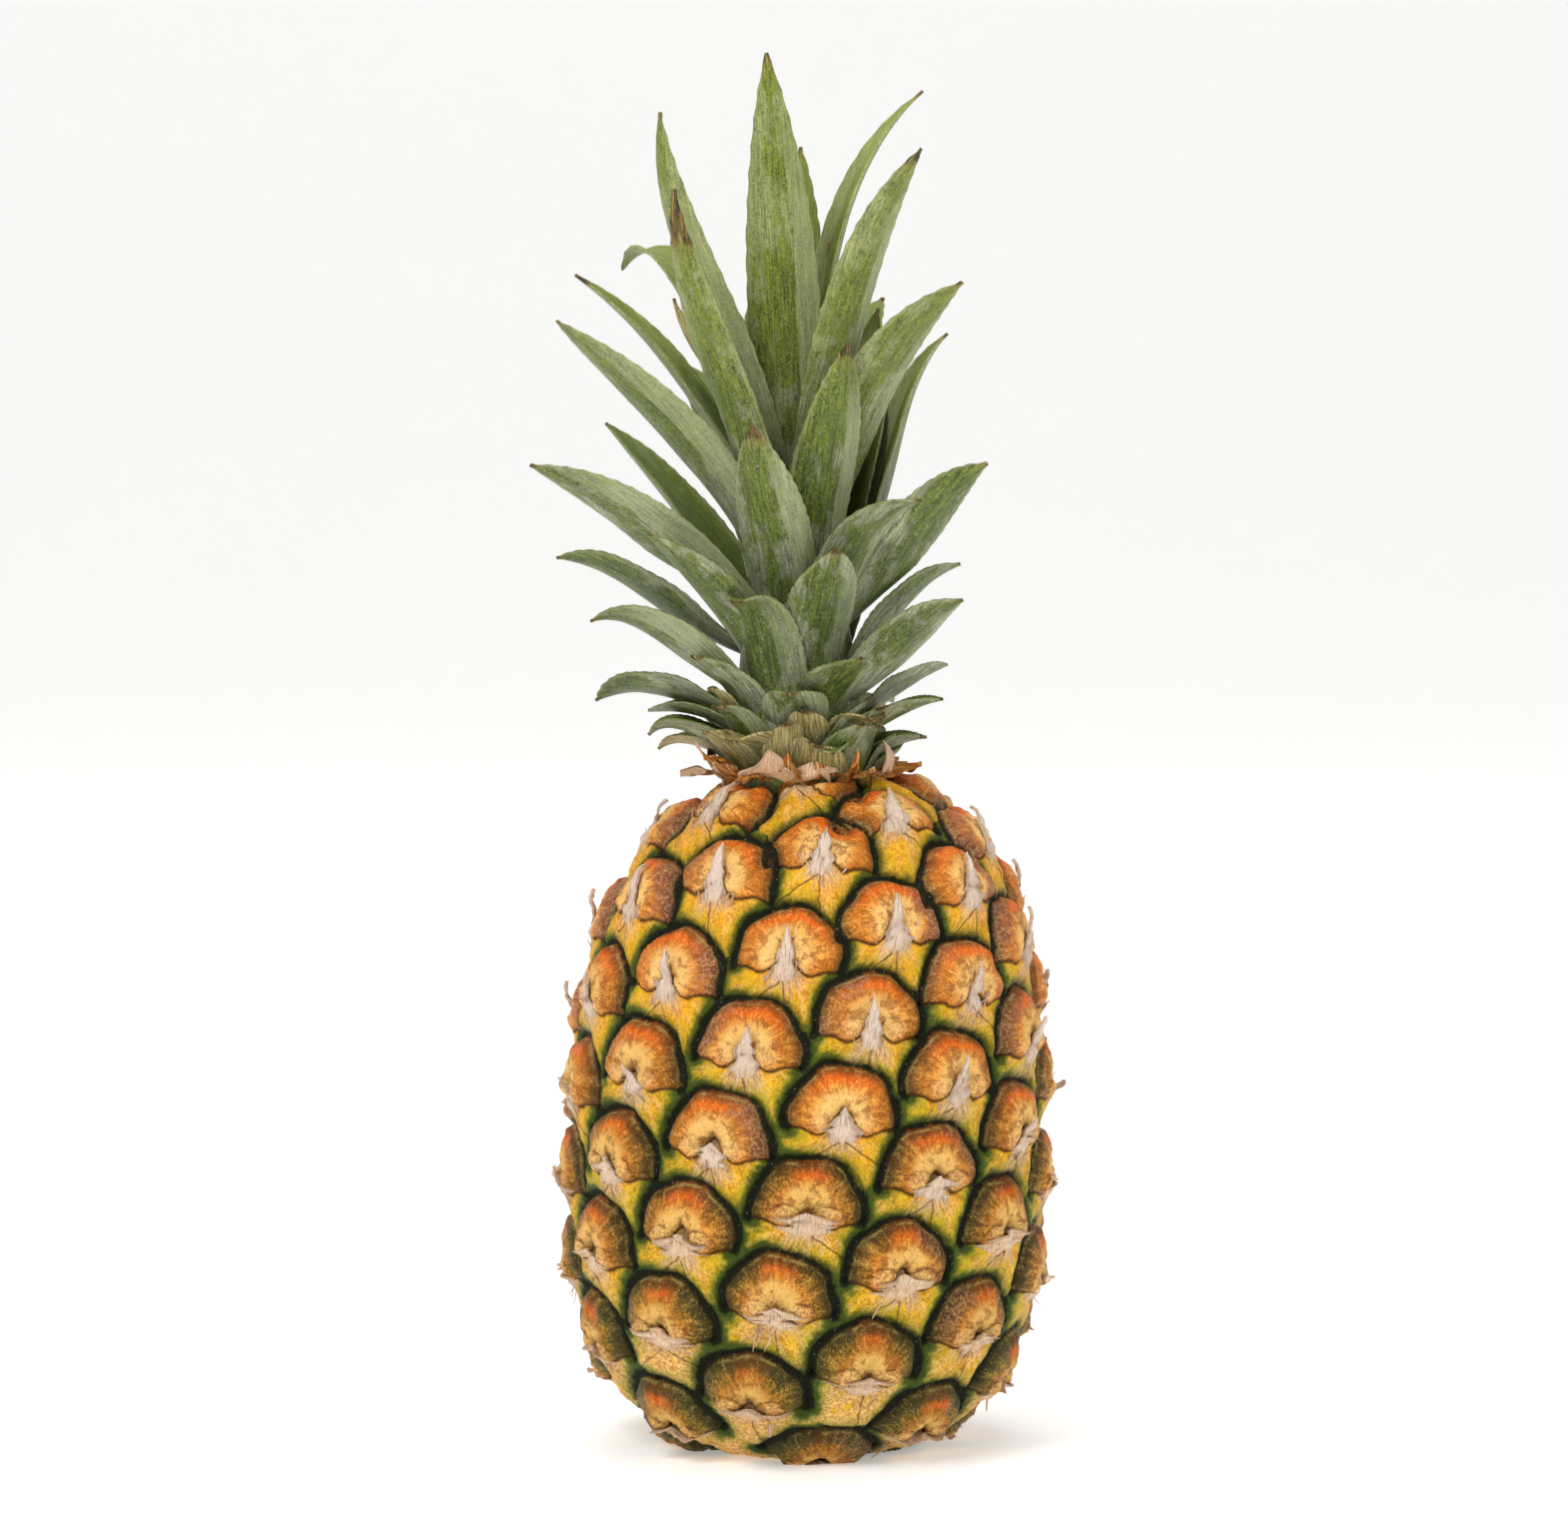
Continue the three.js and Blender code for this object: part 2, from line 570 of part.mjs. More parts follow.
function crownSolid() {
  const core = solidOf(crownCore()).warp((point) => {
    const spot = onCrown(new THREE.Vector3(...point));
    [point[0], point[1], point[2]] = [spot.x, spot.y, spot.z];
  });
  const leaves = [];
  for (let leaf = LEAF_FIRST; leaf <= LEAF_LAST; leaf++) leaves.push(leafSolid(leaf));
  return settled(wasm.Manifold.union([core, ...collarScales(), ...leaves]));
}

// ---- the whole pineapple ----
const pineapple = new THREE.Group();
pineapple.name = 'pineapple';
pineapple.add(meshOf(fruitSolid(), 'fruit', COLOURS.fruit, 0.55));
pineapple.add(meshOf(crownSolid(), 'crown', COLOURS.crown, 0.6));
pineapple.add(meshOf(peg(STALK_RADIUS, 0, STALK_HEIGHT), 'cut_stalk', COLOURS.stalk, 0.9));

export default pineapple;
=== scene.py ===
"""A whole pineapple on a white sweep: rind, bracts, leafy crown and cut stalk, laid out as an add-on."""
import itertools
import math
from functools import partialmethod

import bpy
import numpy as np
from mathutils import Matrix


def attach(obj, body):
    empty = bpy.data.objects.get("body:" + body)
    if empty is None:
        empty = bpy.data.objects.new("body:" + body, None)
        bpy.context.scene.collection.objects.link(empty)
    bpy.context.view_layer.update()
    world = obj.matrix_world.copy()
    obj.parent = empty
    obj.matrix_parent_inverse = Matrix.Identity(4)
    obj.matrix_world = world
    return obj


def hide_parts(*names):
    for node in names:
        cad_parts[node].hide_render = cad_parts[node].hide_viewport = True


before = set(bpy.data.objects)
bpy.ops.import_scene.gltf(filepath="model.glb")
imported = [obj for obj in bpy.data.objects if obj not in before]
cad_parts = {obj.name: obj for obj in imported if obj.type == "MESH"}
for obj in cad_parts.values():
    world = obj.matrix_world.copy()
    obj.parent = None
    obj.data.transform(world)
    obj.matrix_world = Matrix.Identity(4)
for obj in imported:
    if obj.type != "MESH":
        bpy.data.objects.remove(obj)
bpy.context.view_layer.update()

bl_info = {
    "name": "Pineapple",
    "version": (1, 0, 0),
    "blender": (4, 5, 0),
    "location": "3D View > Sidebar > Pineapple",
    "description": "Builds a pineapple piece by piece around its packed solids",
    "category": "Add Mesh",
}

MM = 0.001
TAU = 2 * math.pi
GOLDEN_SHARE = 0.618
SCATTER_STEPS = (12.9898, 78.233, 37.719)
SCATTER_SIZE = 43758.5453

# ---- the barrel, in millimetres, as the solids have it ----
BARREL_RADIUS = 56.6
WIDEST_LEVEL = 70.0
FRUIT_TOP = 162.0
FOOT_DEPTH = 2.0
SHOULDER_SQUARENESS = 2.6
FOOT_SQUARENESS = 2.85
BARREL_SWAY = 4.0
STALK_RADIUS = 13.0
STALK_HEIGHT = 8.0
FIT_GAP = 0.35

# ---- the spiral of eyes ----
EYE_COUNT = 96
EYE_PLACES = 95.4  # how many eyes the whole barrel would hold
EYE_FIRST = 0.3
EYE_CROWDING = 0.945  # below 1, the lowest eyes have more room than the upper ones
EYE_DIVERGENCE = 137.995
EYE_PHASE = 204.4
PATTERN_TILT = (0.02, 0.0635)
NEAR_EYES = 9  # how many eyes can reach one spot of the skin
MOST_STRETCH = 1.6  # of an eye's flat coordinates, where the skin bends away
NOT_HELD = -9.0  # depth in a dome for a spot below its crease

# ---- one eye: a dome under an arch-shaped groove, with the field of its bract below ----
DOME_HALF_WIDTH = 13.5
DOME_HEIGHT = 13.6
DOME_FOOT = 1.0  # level of the dome's widest line above its eye's middle
DOME_SKIRT = 11.0
DOME_SQUARENESS = 2.1
DOME_STRAY = 1.6  # how much a dome's place to the left or right differs from eye to eye
DOME_HEART = 2.5  # level that the rays and wrinkles of an eye start from
CREASE_STRAY = 1.2
GROOVE_DEPTH = 1.4
SECOND_SEED = 7.31  # an eye's seed times this, without its whole part, is a second seed
THIRD_SEED = 23.7
EYE_SPAN = 40.0  # the eye's own coordinates are kept as shares of this
FIRST_BRACT_EYE = 4
LAST_BRACT_EYE = 92
BRACT_FOOT = -5.0  # level of a bract point's root in its eye
FIBRES = 420
SCALES = 26

# ---- the crown ----
CROWN_BASE = 161.0
CROWN_HEIGHT = 173.0
CROWN_X = -1.0
CROWN_LEAN = -0.03
ROOT_RADIUS = 16.0
ROOT_DEPTH = 11.0
CORE_HEIGHT = 96.0
CORE_TAPER = 0.86
CORE_SHIFT = 40  # keeps the core's place along a blade above 0
LEAF_FIRST = -8
LEAF_LAST = 43
HEART_FIRST = 36
FOOT_LEAVES = 22
LEAF_DIVERGENCE = 137.5
LEAF_PHASE = -5.0
LEAF_ROOT_SPAN = 64.0
LEAF_SINK = 3.0
LEAF_WIDTH = 20.0
LEAF_CUP = (0.95, 0.6)
LEAF_TIP = 0.8  # thickness at the tip
LEAF_TOOTH = 0.28
ROLL_SPAN = 0.4
MIDRIB_EARLY = 0.42
MIDRIB_LATE = 0.3
BLADE_SPANS = (200, 400)  # a blade's coordinates across and along are kept as shares of these
THIN_BLADE = 0.6  # thickness of a bract or a scale

# ---- the stage, in metres and degrees ----
SWEEP_LENGTH = 9.0
SWEEP_FRONT = 3.5
SWEEP_FLAT = 2.2
SWEEP_CURVE = 1.6
SWEEP_RADIUS = 1.02
SWEEP_HALF_WIDTH = 4
FLOOR_GLOW = 0.33
WORLD_LIGHT = 0.36
CAMERA_LENS = 152.9
CAMERA_PITCH = 5
CAMERA_AIM = (-0.00504, 0.0, 0.1643)

GLOSS = "Specular IOR Level"

# What single leaves do apart from the rule: how high and how far out the tip comes, and how steeply it
# hangs in degrees from upright. Then how the leaf springs from the core in degrees, how far it strays
# sideways, how far it swings round the stem and its blade rolls over in degrees, how wide it is, and how
# much of it is dry or tan.
LEAF_HABITS = {
    -7: (6, 35, 128, {"lean": 64, "swing": 18}),
    -6: (9, 31, 88, {"lean": 62, "dry": 0.8}),
    -5: (10, 29, 100, {"dry": 0.5, "tan": 0.9}),
    -3: (14.1, 27.1, 125, {"dry": 0.9}),
    -2: (10, 36, 140, {"lean": 72}),
    0: (22, 28, 80, {"swing": 4, "dry": 0.25}),
    1: (15, 38, 96, {"lean": 48, "swing": 38}),
    2: (19, 35, 80, {"lean": 63}),
    3: (30, 29, 60, {"dry": 0.5}),
    5: (31, 36, 50, {}),
    6: (17, 52, 124, {"lean": 75, "roll": 20}),
    7: (26, 39, 72, {"lean": 78, "roll": -20}),
    8: (43, 33, 120, {"dry": 0.3}),
    10: (44, 46, 68, {"lean": 57, "roll": -20}),
    11: (38, 50, 112, {"lean": 60, "roll": 20}),
    13: (57, 38, 40, {"swing": 11, "dry": 0.3}),
    15: (51, 40, 72, {"lean": 45, "roll": -15}),
    16: (60, 47, 56, {"lean": 36}),
    18: (68, 48, 85.5, {}),
    19: (52, 58, 92, {"lean": 72, "roll": 25}),
    20: (95, 30, 20, {}),
    21: (86, 40, 20, {"dry": 0.45}),
    23: (76, 49, 60, {"lean": 48, "roll": -35}),
    24: (76, 67, 68, {"lean": 48, "roll": 30}),
    26: (105, 32, 12, {"swing": 6, "dry": 0.4}),
    27: (84, 51, 48, {"lean": 45}),
    28: (106, 40, 48, {"lean": 42}),
    29: (141, 50, 2, {"width": 14, "dry": 1.0}),
    30: (122, 30, 12, {}),
    31: (119, 53, 58, {"roll": -20}),
    32: (110, 62, 48, {"lean": 24, "swing": 24, "roll": 15}),
    33: (112, 34, 12, {}),
    34: (173, 15, 0, {"stray": -3}),
    35: (121, 58, 140, {}),
    36: (164, 37, 52, {"lean": 0, "swing": 24, "width": 17}),
    37: (159, 35, -8, {}),
    38: (151, 16, 2, {}),
    39: (150, 60, 52, {"lean": 18, "dry": 0.35}),
    40: (120, 53, 56, {"lean": 30, "width": 17, "dry": 0.4}),
    42: (115, 28, 8, {"swing": -52, "width": 15, "tan": 0.4}),
}


# ---- small helpers ----
def scatter(k):
    """A repeatable number between 0 and 1 for a number."""
    return math.sin(k * SCATTER_STEPS[0]) * SCATTER_SIZE % 1


def lerp(a, b, part):
    return a + (b - a) * part


def drawn(a, b, k):
    """A repeatable number between a and b for a number."""
    return lerp(a, b, scatter(k))


def ease(value, low, high):
    """Smooth step from 0 at low to 1 at high."""
    part = np.clip((value - low) / (high - low), 0, 1)
    return part * part * (3 - 2 * part)


def bump_at(value, width):
    """A rounded peak of height 1 at 0."""
    return np.exp(-((value / width) ** 2))


def lumps(places, size=1.0, salt=0.0):
    """Smooth scatter between -1 and 1 at places given as x, y and z, with lumps of about the given size."""
    spots = np.stack(np.broadcast_arrays(*places), -1) / size + salt
    cell = np.floor(spots)
    part = spots - cell
    part = part * part * (3 - 2 * part)
    total = 0
    for corner in itertools.product((0, 1), repeat=3):
        weight = np.prod(np.where(corner, part, 1 - part), axis=-1)
        total = total + weight * (np.sin((cell + corner) @ SCATTER_STEPS) * SCATTER_SIZE % 1)
    return 2 * total - 1


def compass(turn):
    """Outward and sideways directions for a turn round the upright axis, which starts at the front."""
    return np.array([math.sin(turn), -math.cos(turn), 0]), np.array([math.cos(turn), math.sin(turn), 0])


def linear(text):
    """Scene-linear colour for a screen colour written as six hex digits."""
    shares = [int(text[k:k + 2], 16) / 255 for k in (0, 2, 4)]
    return [s / 12.92 if s < 0.04045 else ((s + 0.055) / 1.055) ** 2.4 for s in shares]


def points_of(mesh, unit=MM):
    """A mesh's corners, in millimetres or in another unit."""
    flat = np.empty(3 * len(mesh.vertices))
    mesh.vertices.foreach_get("co", flat)
    return flat.reshape(-1, 3) / unit


def set_points(mesh, points, unit=MM):
    mesh.vertices.foreach_set("co", (np.asarray(points) * unit).astype(np.float32).ravel())
    mesh.update()


def corner_ids(mesh):
    ids = np.empty(len(mesh.loops), np.int32)
    mesh.loops.foreach_get("vertex_index", ids)
    return ids


def set_map(mesh, name, pairs):
    """Writes one pair of numbers for each face corner as a UV map."""
    layer = mesh.uv_layers.get(name) or mesh.uv_layers.new(name=name)
    layer.data.foreach_set("uv", np.asarray(pairs, np.float32).ravel())


def select_none():
    if bpy.context.mode != "OBJECT":
        bpy.ops.object.mode_set(mode="OBJECT")
    bpy.ops.object.select_all(action="DESELECT")


def select_only(obj):
    select_none()
    obj.select_set(True)
    bpy.context.view_layer.objects.active = obj


def named(name):
    """The primitive that was just added, with its own name."""
    piece = bpy.context.active_object
    piece.name = piece.data.name = name
    return piece


def apply_modifier(obj, kind, **settings):
    """Adds a modifier with these settings and applies it at once."""
    select_only(obj)
    modifier = obj.modifiers.new(kind.title(), kind)
    for name, value in settings.items():
        setattr(modifier, name, value)
    bpy.ops.object.modifier_apply(modifier=modifier.name)


def joined(parts, name):
    """One object from several, with its place in its mesh."""
    select_none()
    for part in parts:
        part.select_set(True)
    bpy.context.view_layer.objects.active = parts[0]
    bpy.ops.object.join()
    return named(name)


def finished(piece, material, node, angle):
    """Gives a piece its material, smooth faces and body, and hides the solid it stands for."""
    piece.data.materials.clear()
    piece.data.materials.append(material)
    select_only(piece)
    bpy.ops.object.shade_smooth_by_angle(angle=math.radians(angle))
    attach(piece, "root")
    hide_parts(node)


# ---- the barrel's smooth surface, in coordinates from its middle ----
def barrel_half(points):
    upper = points[..., 2] > 0
    squareness = np.where(upper, SHOULDER_SQUARENESS, FOOT_SQUARENESS)
    return squareness, np.where(upper, FRUIT_TOP - WIDEST_LEVEL, WIDEST_LEVEL + FOOT_DEPTH)


def on_barrel(directions):
    """Carries directions from the barrel's middle to where they leave its surface."""
    squareness, reach = barrel_half(directions)
    around = np.hypot(directions[..., 0], directions[..., 1]) / BARREL_RADIUS
    scale = (around ** squareness + (np.abs(directions[..., 2]) / reach) ** squareness) ** (-1 / squareness)
    return directions * scale[..., None]


def barrel_normal(points):
    squareness, reach = barrel_half(points)
    around = np.hypot(points[..., 0], points[..., 1])
    across = (around / BARREL_RADIUS) ** (squareness - 1) / BARREL_RADIUS / np.maximum(around, 1e-9)
    along = np.sign(points[..., 2]) * (np.abs(points[..., 2]) / reach) ** (squareness - 1) / reach
    normal = np.stack([points[..., 0] * across, points[..., 1] * across, along], -1)
    return normal / np.linalg.norm(normal, axis=-1, keepdims=True)


def sway(level):
    """How far the barrel's axis has moved to the side at a level."""
    return BARREL_SWAY * (np.maximum(level, 0) / FRUIT_TOP) ** 3


def placed(points):
    """From the barrel's own coordinates to the fruit's, with the sway of its top."""
    spots = points + (0, 0, WIDEST_LEVEL)
    spots[..., 0] += sway(spots[..., 2])
    return spots


def on_skin(smooth, rise, lowest=0.02):
    """Points that stand above the barrel's smooth surface, and none of them below the lowest level."""
    spots = placed(smooth) + barrel_normal(smooth) * rise[:, None]
    spots[:, 2] = np.maximum(spots[:, 2], lowest)
    return spots


def tilt_matrix():
    (ca, sa), (cb, sb) = [(math.cos(a), math.sin(a)) for a in PATTERN_TILT]
    about_x = np.array([[1, 0, 0], [0, ca, -sa], [0, sa, ca]])
    about_y = np.array([[cb, 0, sb], [0, 1, 0], [-sb, 0, cb]])
    return about_x @ about_y


class EyePattern:
    """The eyes' middles on the barrel, with the way up and to the right at each."""

    def __init__(self):
        angles = np.linspace(-math.pi / 2, math.pi / 2, 601)
        walk = on_barrel(np.stack([np.cos(angles), 0 * angles, np.sin(angles)], 1))
        radius, level = walk[:, 0], walk[:, 2]
        step = np.hypot(np.diff(radius), np.diff(level))
        area = np.append(0, np.cumsum(math.pi * (radius[1:] + radius[:-1]) * step))
        number = np.arange(EYE_COUNT)
        wanted = area[-1] * ((number + EYE_FIRST) / EYE_PLACES) ** EYE_CROWDING
        turn = np.radians(EYE_PHASE - EYE_DIVERGENCE * number)
        around = np.interp(wanted, area, radius)
        spots = np.stack([around * np.sin(turn), -around * np.cos(turn), np.interp(wanted, area, level)], 1)
        self.middles = on_barrel(spots @ tilt_matrix().T)
        self.normals = barrel_normal(self.middles)
        axis = tilt_matrix() @ (0, 0, 1)
        ups = axis - (self.normals @ axis)[:, None] * self.normals
        self.ups = ups / np.linalg.norm(ups, axis=1, keepdims=True)
        self.rights = np.cross(self.ups, self.normals)
        self.seeds = np.array([scatter(k + 0.37) for k in number])
        self.levels = np.clip(placed(self.middles)[:, 2] / FRUIT_TOP, 0, 1)

    def local(self, points, eyes):
        """Where points lie in the flat coordinates of the given eyes, to the right and up, in millimetres."""
        away = points - self.middles[eyes]
        right = np.sum(away * self.rights[eyes], -1)
        up = np.sum(away * self.ups[eyes], -1)
        stretch = np.linalg.norm(away, axis=-1) / np.maximum(np.hypot(right, up), 1e-6)
        stretch = np.minimum(stretch, MOST_STRETCH)
        return right * stretch, up * stretch

    def smooth_at(self, eye, right, up):
        """Points of the barrel's smooth surface, for places in one eye."""
        return on_barrel(self.middles[eye] + right[:, None] * self.rights[eye] + up[:, None] * self.ups[eye])

    def survey(self, points):
        """For each point: the eye it belongs to, whether it is on that eye's dome, how far it is from the
        nearest groove, and how far from the seam between two bracts."""
        spread = np.linalg.norm(points[:, None] - self.middles[None], axis=2)
        near = np.argsort(spread, axis=1)[:, :NEAR_EYES]
        right, up = self.local(points[:, None], near)
        inside = dome_depth(right, up, self.seeds[near])
        above = up - crease_level(right, self.seeds[near])
        held = np.where(above > 0, inside, NOT_HELD)
        order = np.sort(held, axis=1)
        depth = order[:, -1] - np.maximum(order[:, -2], 0)
        on_dome = order[:, -1] > 0
        ends = np.hypot(inside, np.minimum(above, 0)).min(1)
        claim = np.hypot(0.8 * right, up + 3) + 2.2 * np.maximum(up, 0)
        claims = np.sort(claim, axis=1)
        pick = np.where(on_dome, held.argmax(1), claim.argmin(1))
        eye = np.take_along_axis(near, pick[:, None], 1)[:, 0]
        groove = np.where(on_dome, np.minimum(depth, ends), -ends)
        return eye, on_dome, groove, claims[:, 1] - claims[:, 0]


def dome_depth(right, up, seed):
    """How far inside the dome's arch-shaped edge a spot is, negative outside."""
    off = right - DOME_STRAY * (seed - 0.5)
    above = up - DOME_FOOT
    bearing = np.arctan2(above, off)
    wavy = 1 + 0.03 * np.cos(6 * bearing + 40 * seed) + 0.009 * np.cos(11 * bearing + 90 * seed)
    side = np.abs(off) / DOME_HALF_WIDTH
    tall = np.where(above > 0, above / DOME_HEIGHT, -above / DOME_SKIRT)
    share = (side ** DOME_SQUARENESS + tall ** DOME_SQUARENESS) ** (1 / DOME_SQUARENESS) / wavy
    reach = np.hypot(off, above)
    return np.where(reach < 0.01, DOME_SKIRT, reach * (1 / np.maximum(share, 1e-6) - 1))


def crease_level(right, seed):
    """The line that parts the dome from its bract: low on both sides, raised in the middle."""
    off = right - CREASE_STRAY * (seed - 0.5)
    peak = 1.4 + 3.0 * (SECOND_SEED * seed % 1)
    return peak * bump_at(off, 2.5) - 1.5 * bump_at(np.abs(off) - 5.6, 2.8) - 0.6


def skin_rise(right, up, on_dome, groove, seam, seed, level):
    """How far the skin stands above the barrel's smooth surface."""
    above = up - crease_level(right, seed)
    reach = np.hypot(right, up - DOME_HEART)
    bearing = np.arctan2(up - DOME_HEART, right)
    rays = (8 * np.cos(bearing), 8 * np.sin(bearing), 0.3 * reach + 40 * seed)
    ripple = lumps(rays)
    fine = lumps(rays, 1 / 2.2, 7.0)
    blot = lumps((right, up, 50 * seed), 3.2)
    grain = lumps((right, up, 50 * seed), 1.25, 3.0)
    deep = np.maximum(groove, 0)
    dome = -GROOVE_DEPTH + 2.4 * ease(deep, 0, 2.2) + 1.8 * ease(deep, 0.8, 7.5)
    cheek = bump_at(np.abs(right) - 5.0, 3.2) * bump_at(up - 1.2, 2.2) * (1 - ease(level, 0.5, 0.75))
    dome += -0.5 * bump_at(reach, 2.2) + (0.9 + 0.5 * grain) * cheek
    dome += (0.24 * ripple + 0.14 * fine + 0.34 * blot + 0.3 * grain) * ease(deep, 0.2, 2.5)
    dome -= 1.75 * np.exp(-np.maximum(above, 0) / 0.9)
    out = np.maximum(-groove, 0)
    field = -GROOVE_DEPTH + 1.2 * ease(out, 0, 1.6) + 1.0 * ease(out, 0.6, 5)
    field += (0.34 * ripple + 0.2 * fine + 0.3 * blot + 0.16 * grain) * ease(out, 0.4, 2)
    field += (0.8 + 0.4 * ripple) * bump_at(right, 4.4) * bump_at(up + 2.2, 2.8)
    field -= 0.5 * bump_at(seam, 0.9)
    field -= 0.45 * np.exp(-np.maximum(-above, 0) / 0.5) * (1 - ease(np.abs(right), 10, 13))
    return np.where(on_dome, dome, field)


# ---- node trees ----
class Value:
    """A socket of a node tree. Arithmetic on it adds Math nodes."""

    def __init__(self, shader, socket):
        self.shader = shader
        self.socket = socket

    def maths(self, operation, *others):
        """A Math node on this value and others."""
        return self.shader.node("ShaderNodeMath", {"operation": operation}, dict(enumerate((self, *others))))

    __add__ = __radd__ = partialmethod(maths, "ADD")
    __sub__ = partialmethod(maths, "SUBTRACT")
    __mul__ = __rmul__ = partialmethod(maths, "MULTIPLY")
    __truediv__ = partialmethod(maths, "DIVIDE")
    __neg__ = partialmethod(maths, "MULTIPLY", -1)
    __abs__ = partialmethod(maths, "ABSOLUTE")
    sqrt = partialmethod(maths, "SQRT")
    fract = partialmethod(maths, "FRACT")

    def __rsub__(self, other):
        return self.shader.node("ShaderNodeMath", {"operation": "SUBTRACT"}, {0: other, 1: self})

    def ease(self, low, high):
        """Smooth step from 0 at low to 1 at high."""
        sockets = {0: self, 1: low, 2: high}
        return self.shader.node("ShaderNodeMapRange", {"interpolation_type": "SMOOTHSTEP"}, sockets)

    def stray(self, reach):
        """How far this is from its middle, 0.5, times reach."""
        return (self - 0.5) * reach

    def peak(self, width):
        """A rounded peak of height 1 where this is 0."""
        share = self / width
        return (-(share * share)).maths("EXPONENT")

    def blend(self, first, second):
        """The first colour where this is 0 and the second where it is 1."""
        return self.shader.mix(self, first, second)

    def fade(self, first, second, low=0.4, high=0.6):
        """The first colour up to low and the second from high on."""
        return self.ease(low, high).blend(first, second)

    def coated(self, *coats):
        """This colour under coats, each given as its share and its colour."""
        colour = self
        for share, coat in coats:
            colour = share.blend(colour, coat)
        return colour

    def tinted(self, tint, share=1.0):
        """This colour times a tint, as far as share says."""
        return self.shader.mix(share, self, tint, "MULTIPLY")


class Shader:
    """A material's node tree, built by expressions."""

    def __init__(self, name):
        self.material = bpy.data.materials.new(name)
        self.material.use_nodes = True
        self.tree = self.material.node_tree
        self.tree.nodes.clear()

    def node(self, kind, settings=None, sockets=None, out=0):
        """Adds a node, with its settings first and then its sockets, and returns one output."""
        node = self.tree.nodes.new(kind)
        for name, value in (settings or {}).items():
            setattr(node, name, value)
        for key, value in (sockets or {}).items():
            if isinstance(value, Value):
                self.tree.links.new(value.socket, node.inputs[key])
            else:
                node.inputs[key].default_value = value
        return Value(self, node.outputs[out])

    def mix(self, share, first, second, way="MIX"):
        """Two colours, each a value, six hex digits or three numbers, mixed as far as share says."""
        sockets = {0: share}
        for key, colour in ((6, first), (7, second)):
            if isinstance(colour, str):
                colour = linear(colour)
            sockets[key] = colour if isinstance(colour, Value) else (*colour, 1)
        return self.node("ShaderNodeMix", {"data_type": "RGBA", "blend_type": way}, sockets, out=2)

    def object_place(self):
        """Object coordinates in millimetres."""
        place = self.node("ShaderNodeTexCoord", out="Object")
        return self.node("ShaderNodeVectorMath", {"operation": "SCALE"}, {0: place, "Scale": 1 / MM})

    def parts(self, vector):
        """The three numbers of a vector."""
        node = self.node("ShaderNodeSeparateXYZ", None, {0: vector}).socket.node
        return [Value(self, output) for output in node.outputs]

    def map_pair(self, name):
        """The two numbers that a UV map holds."""
        return self.parts(self.node("ShaderNodeUVMap", {"uv_map": name}))[:2]

    def blade_place(self):
        """Where a spot lies across and along its blade in millimetres."""
        x, y = self.map_pair("blade_mm")
        return (x - 0.5) * BLADE_SPANS[0], y * BLADE_SPANS[1]

    def vector(self, x, y, z):
        return self.node("ShaderNodeCombineXYZ", None, {0: x, 1: y, 2: z})

    def noise(self, place, size, detail, rough=0.5):
        sockets = {"Vector": place, "Scale": 1 / size, "Detail": detail, "Roughness": rough}
        return self.node("ShaderNodeTexNoise", None, sockets)

    def close(self, colour, rough, height, depth, **constants):
        """Ends the tree in one surface shader with a bumped normal, and gives the material."""
        normal = self.node("ShaderNodeBump", None, {"Height": height, "Distance": depth, "Strength": 1.0})
        sockets = {"Base Color": colour, "Roughness": rough, "Normal": normal, **constants}
        surface = self.node("ShaderNodeBsdfPrincipled", None, sockets)
        output = self.tree.nodes.new("ShaderNodeOutputMaterial")
        self.tree.links.new(surface.socket, output.inputs[0])
        return self.material


# ---- what a user would change ----
def colour_property(name, description, text):
    return bpy.props.FloatVectorProperty(
        name=name, description=description, subtype="COLOR", size=3, min=0, max=1, default=linear(text)
    )


class RindSettings(bpy.types.PropertyGroup):
    """Sizes and colours of the rind."""

    mesh_size: bpy.props.FloatProperty(
        name="Mesh size", description="Size of the rind's faces", default=0.00093, min=0.0004, unit="LENGTH"
    )
    # Near-black green of the grooves, which also serves as painted shade deep in them
    groove: colour_property("Groove", "Colour in the grooves round the domes", "0D1205")
    orange: colour_property("Orange", "Colour of the dome's crest", "CE5C08")
    brown: colour_property("Brown", "Colour of the dome's sides", "664510")
    cream: colour_property("Cream", "Colour of the dome's middle", "E8C488")
    yellow: colour_property("Yellow", "Colour of the bract's field", "E6B62E")
    green: colour_property("Green", "Colour of the skin next to the grooves", "6E8A12")
    paper: colour_property("Paper", "Colour of the bract's papery skin", "E2C6B2")


class CrownSettings(bpy.types.PropertyGroup):
    """Sizes and colours of the crown."""

    thickness: bpy.props.FloatProperty(
        name="Thickness", description="Thickness of a leaf's root", default=0.0019, min=0.0006, unit="LENGTH"
    )
    deep: colour_property("Deep green", "Colour where the bloom is rubbed off", "45590C")
    fresh: colour_property("Fresh green", "Colour of the leaves' inner faces", "7C8C30")
    bloom: colour_property("Bloom", "Colour of the silvery bloom", "B1B599")
    dry: colour_property("Dry", "Colour of the leaves' dry tips", "745A32")


class StageSettings(bpy.types.PropertyGroup):
    """Floor, light and camera."""

    floor: colour_property("Floor", "Colour of the floor and backdrop", "F9F9F8")
    key: bpy.props.FloatProperty(
        name="Key light", description="Power of the main softbox", default=24.0, min=0, unit="POWER"
    )
    distance: bpy.props.FloatProperty(
        name="Distance", description="From camera to pineapple's axis", default=1.6, min=0.5, unit="LENGTH"
    )


def colours_of(settings):
    """A settings group's colours as plain lists, by name."""
    return {
        name: list(getattr(settings, name))
        for name, kind in settings.bl_rna.properties.items()
        if kind.type == "FLOAT" and kind.is_array
    }


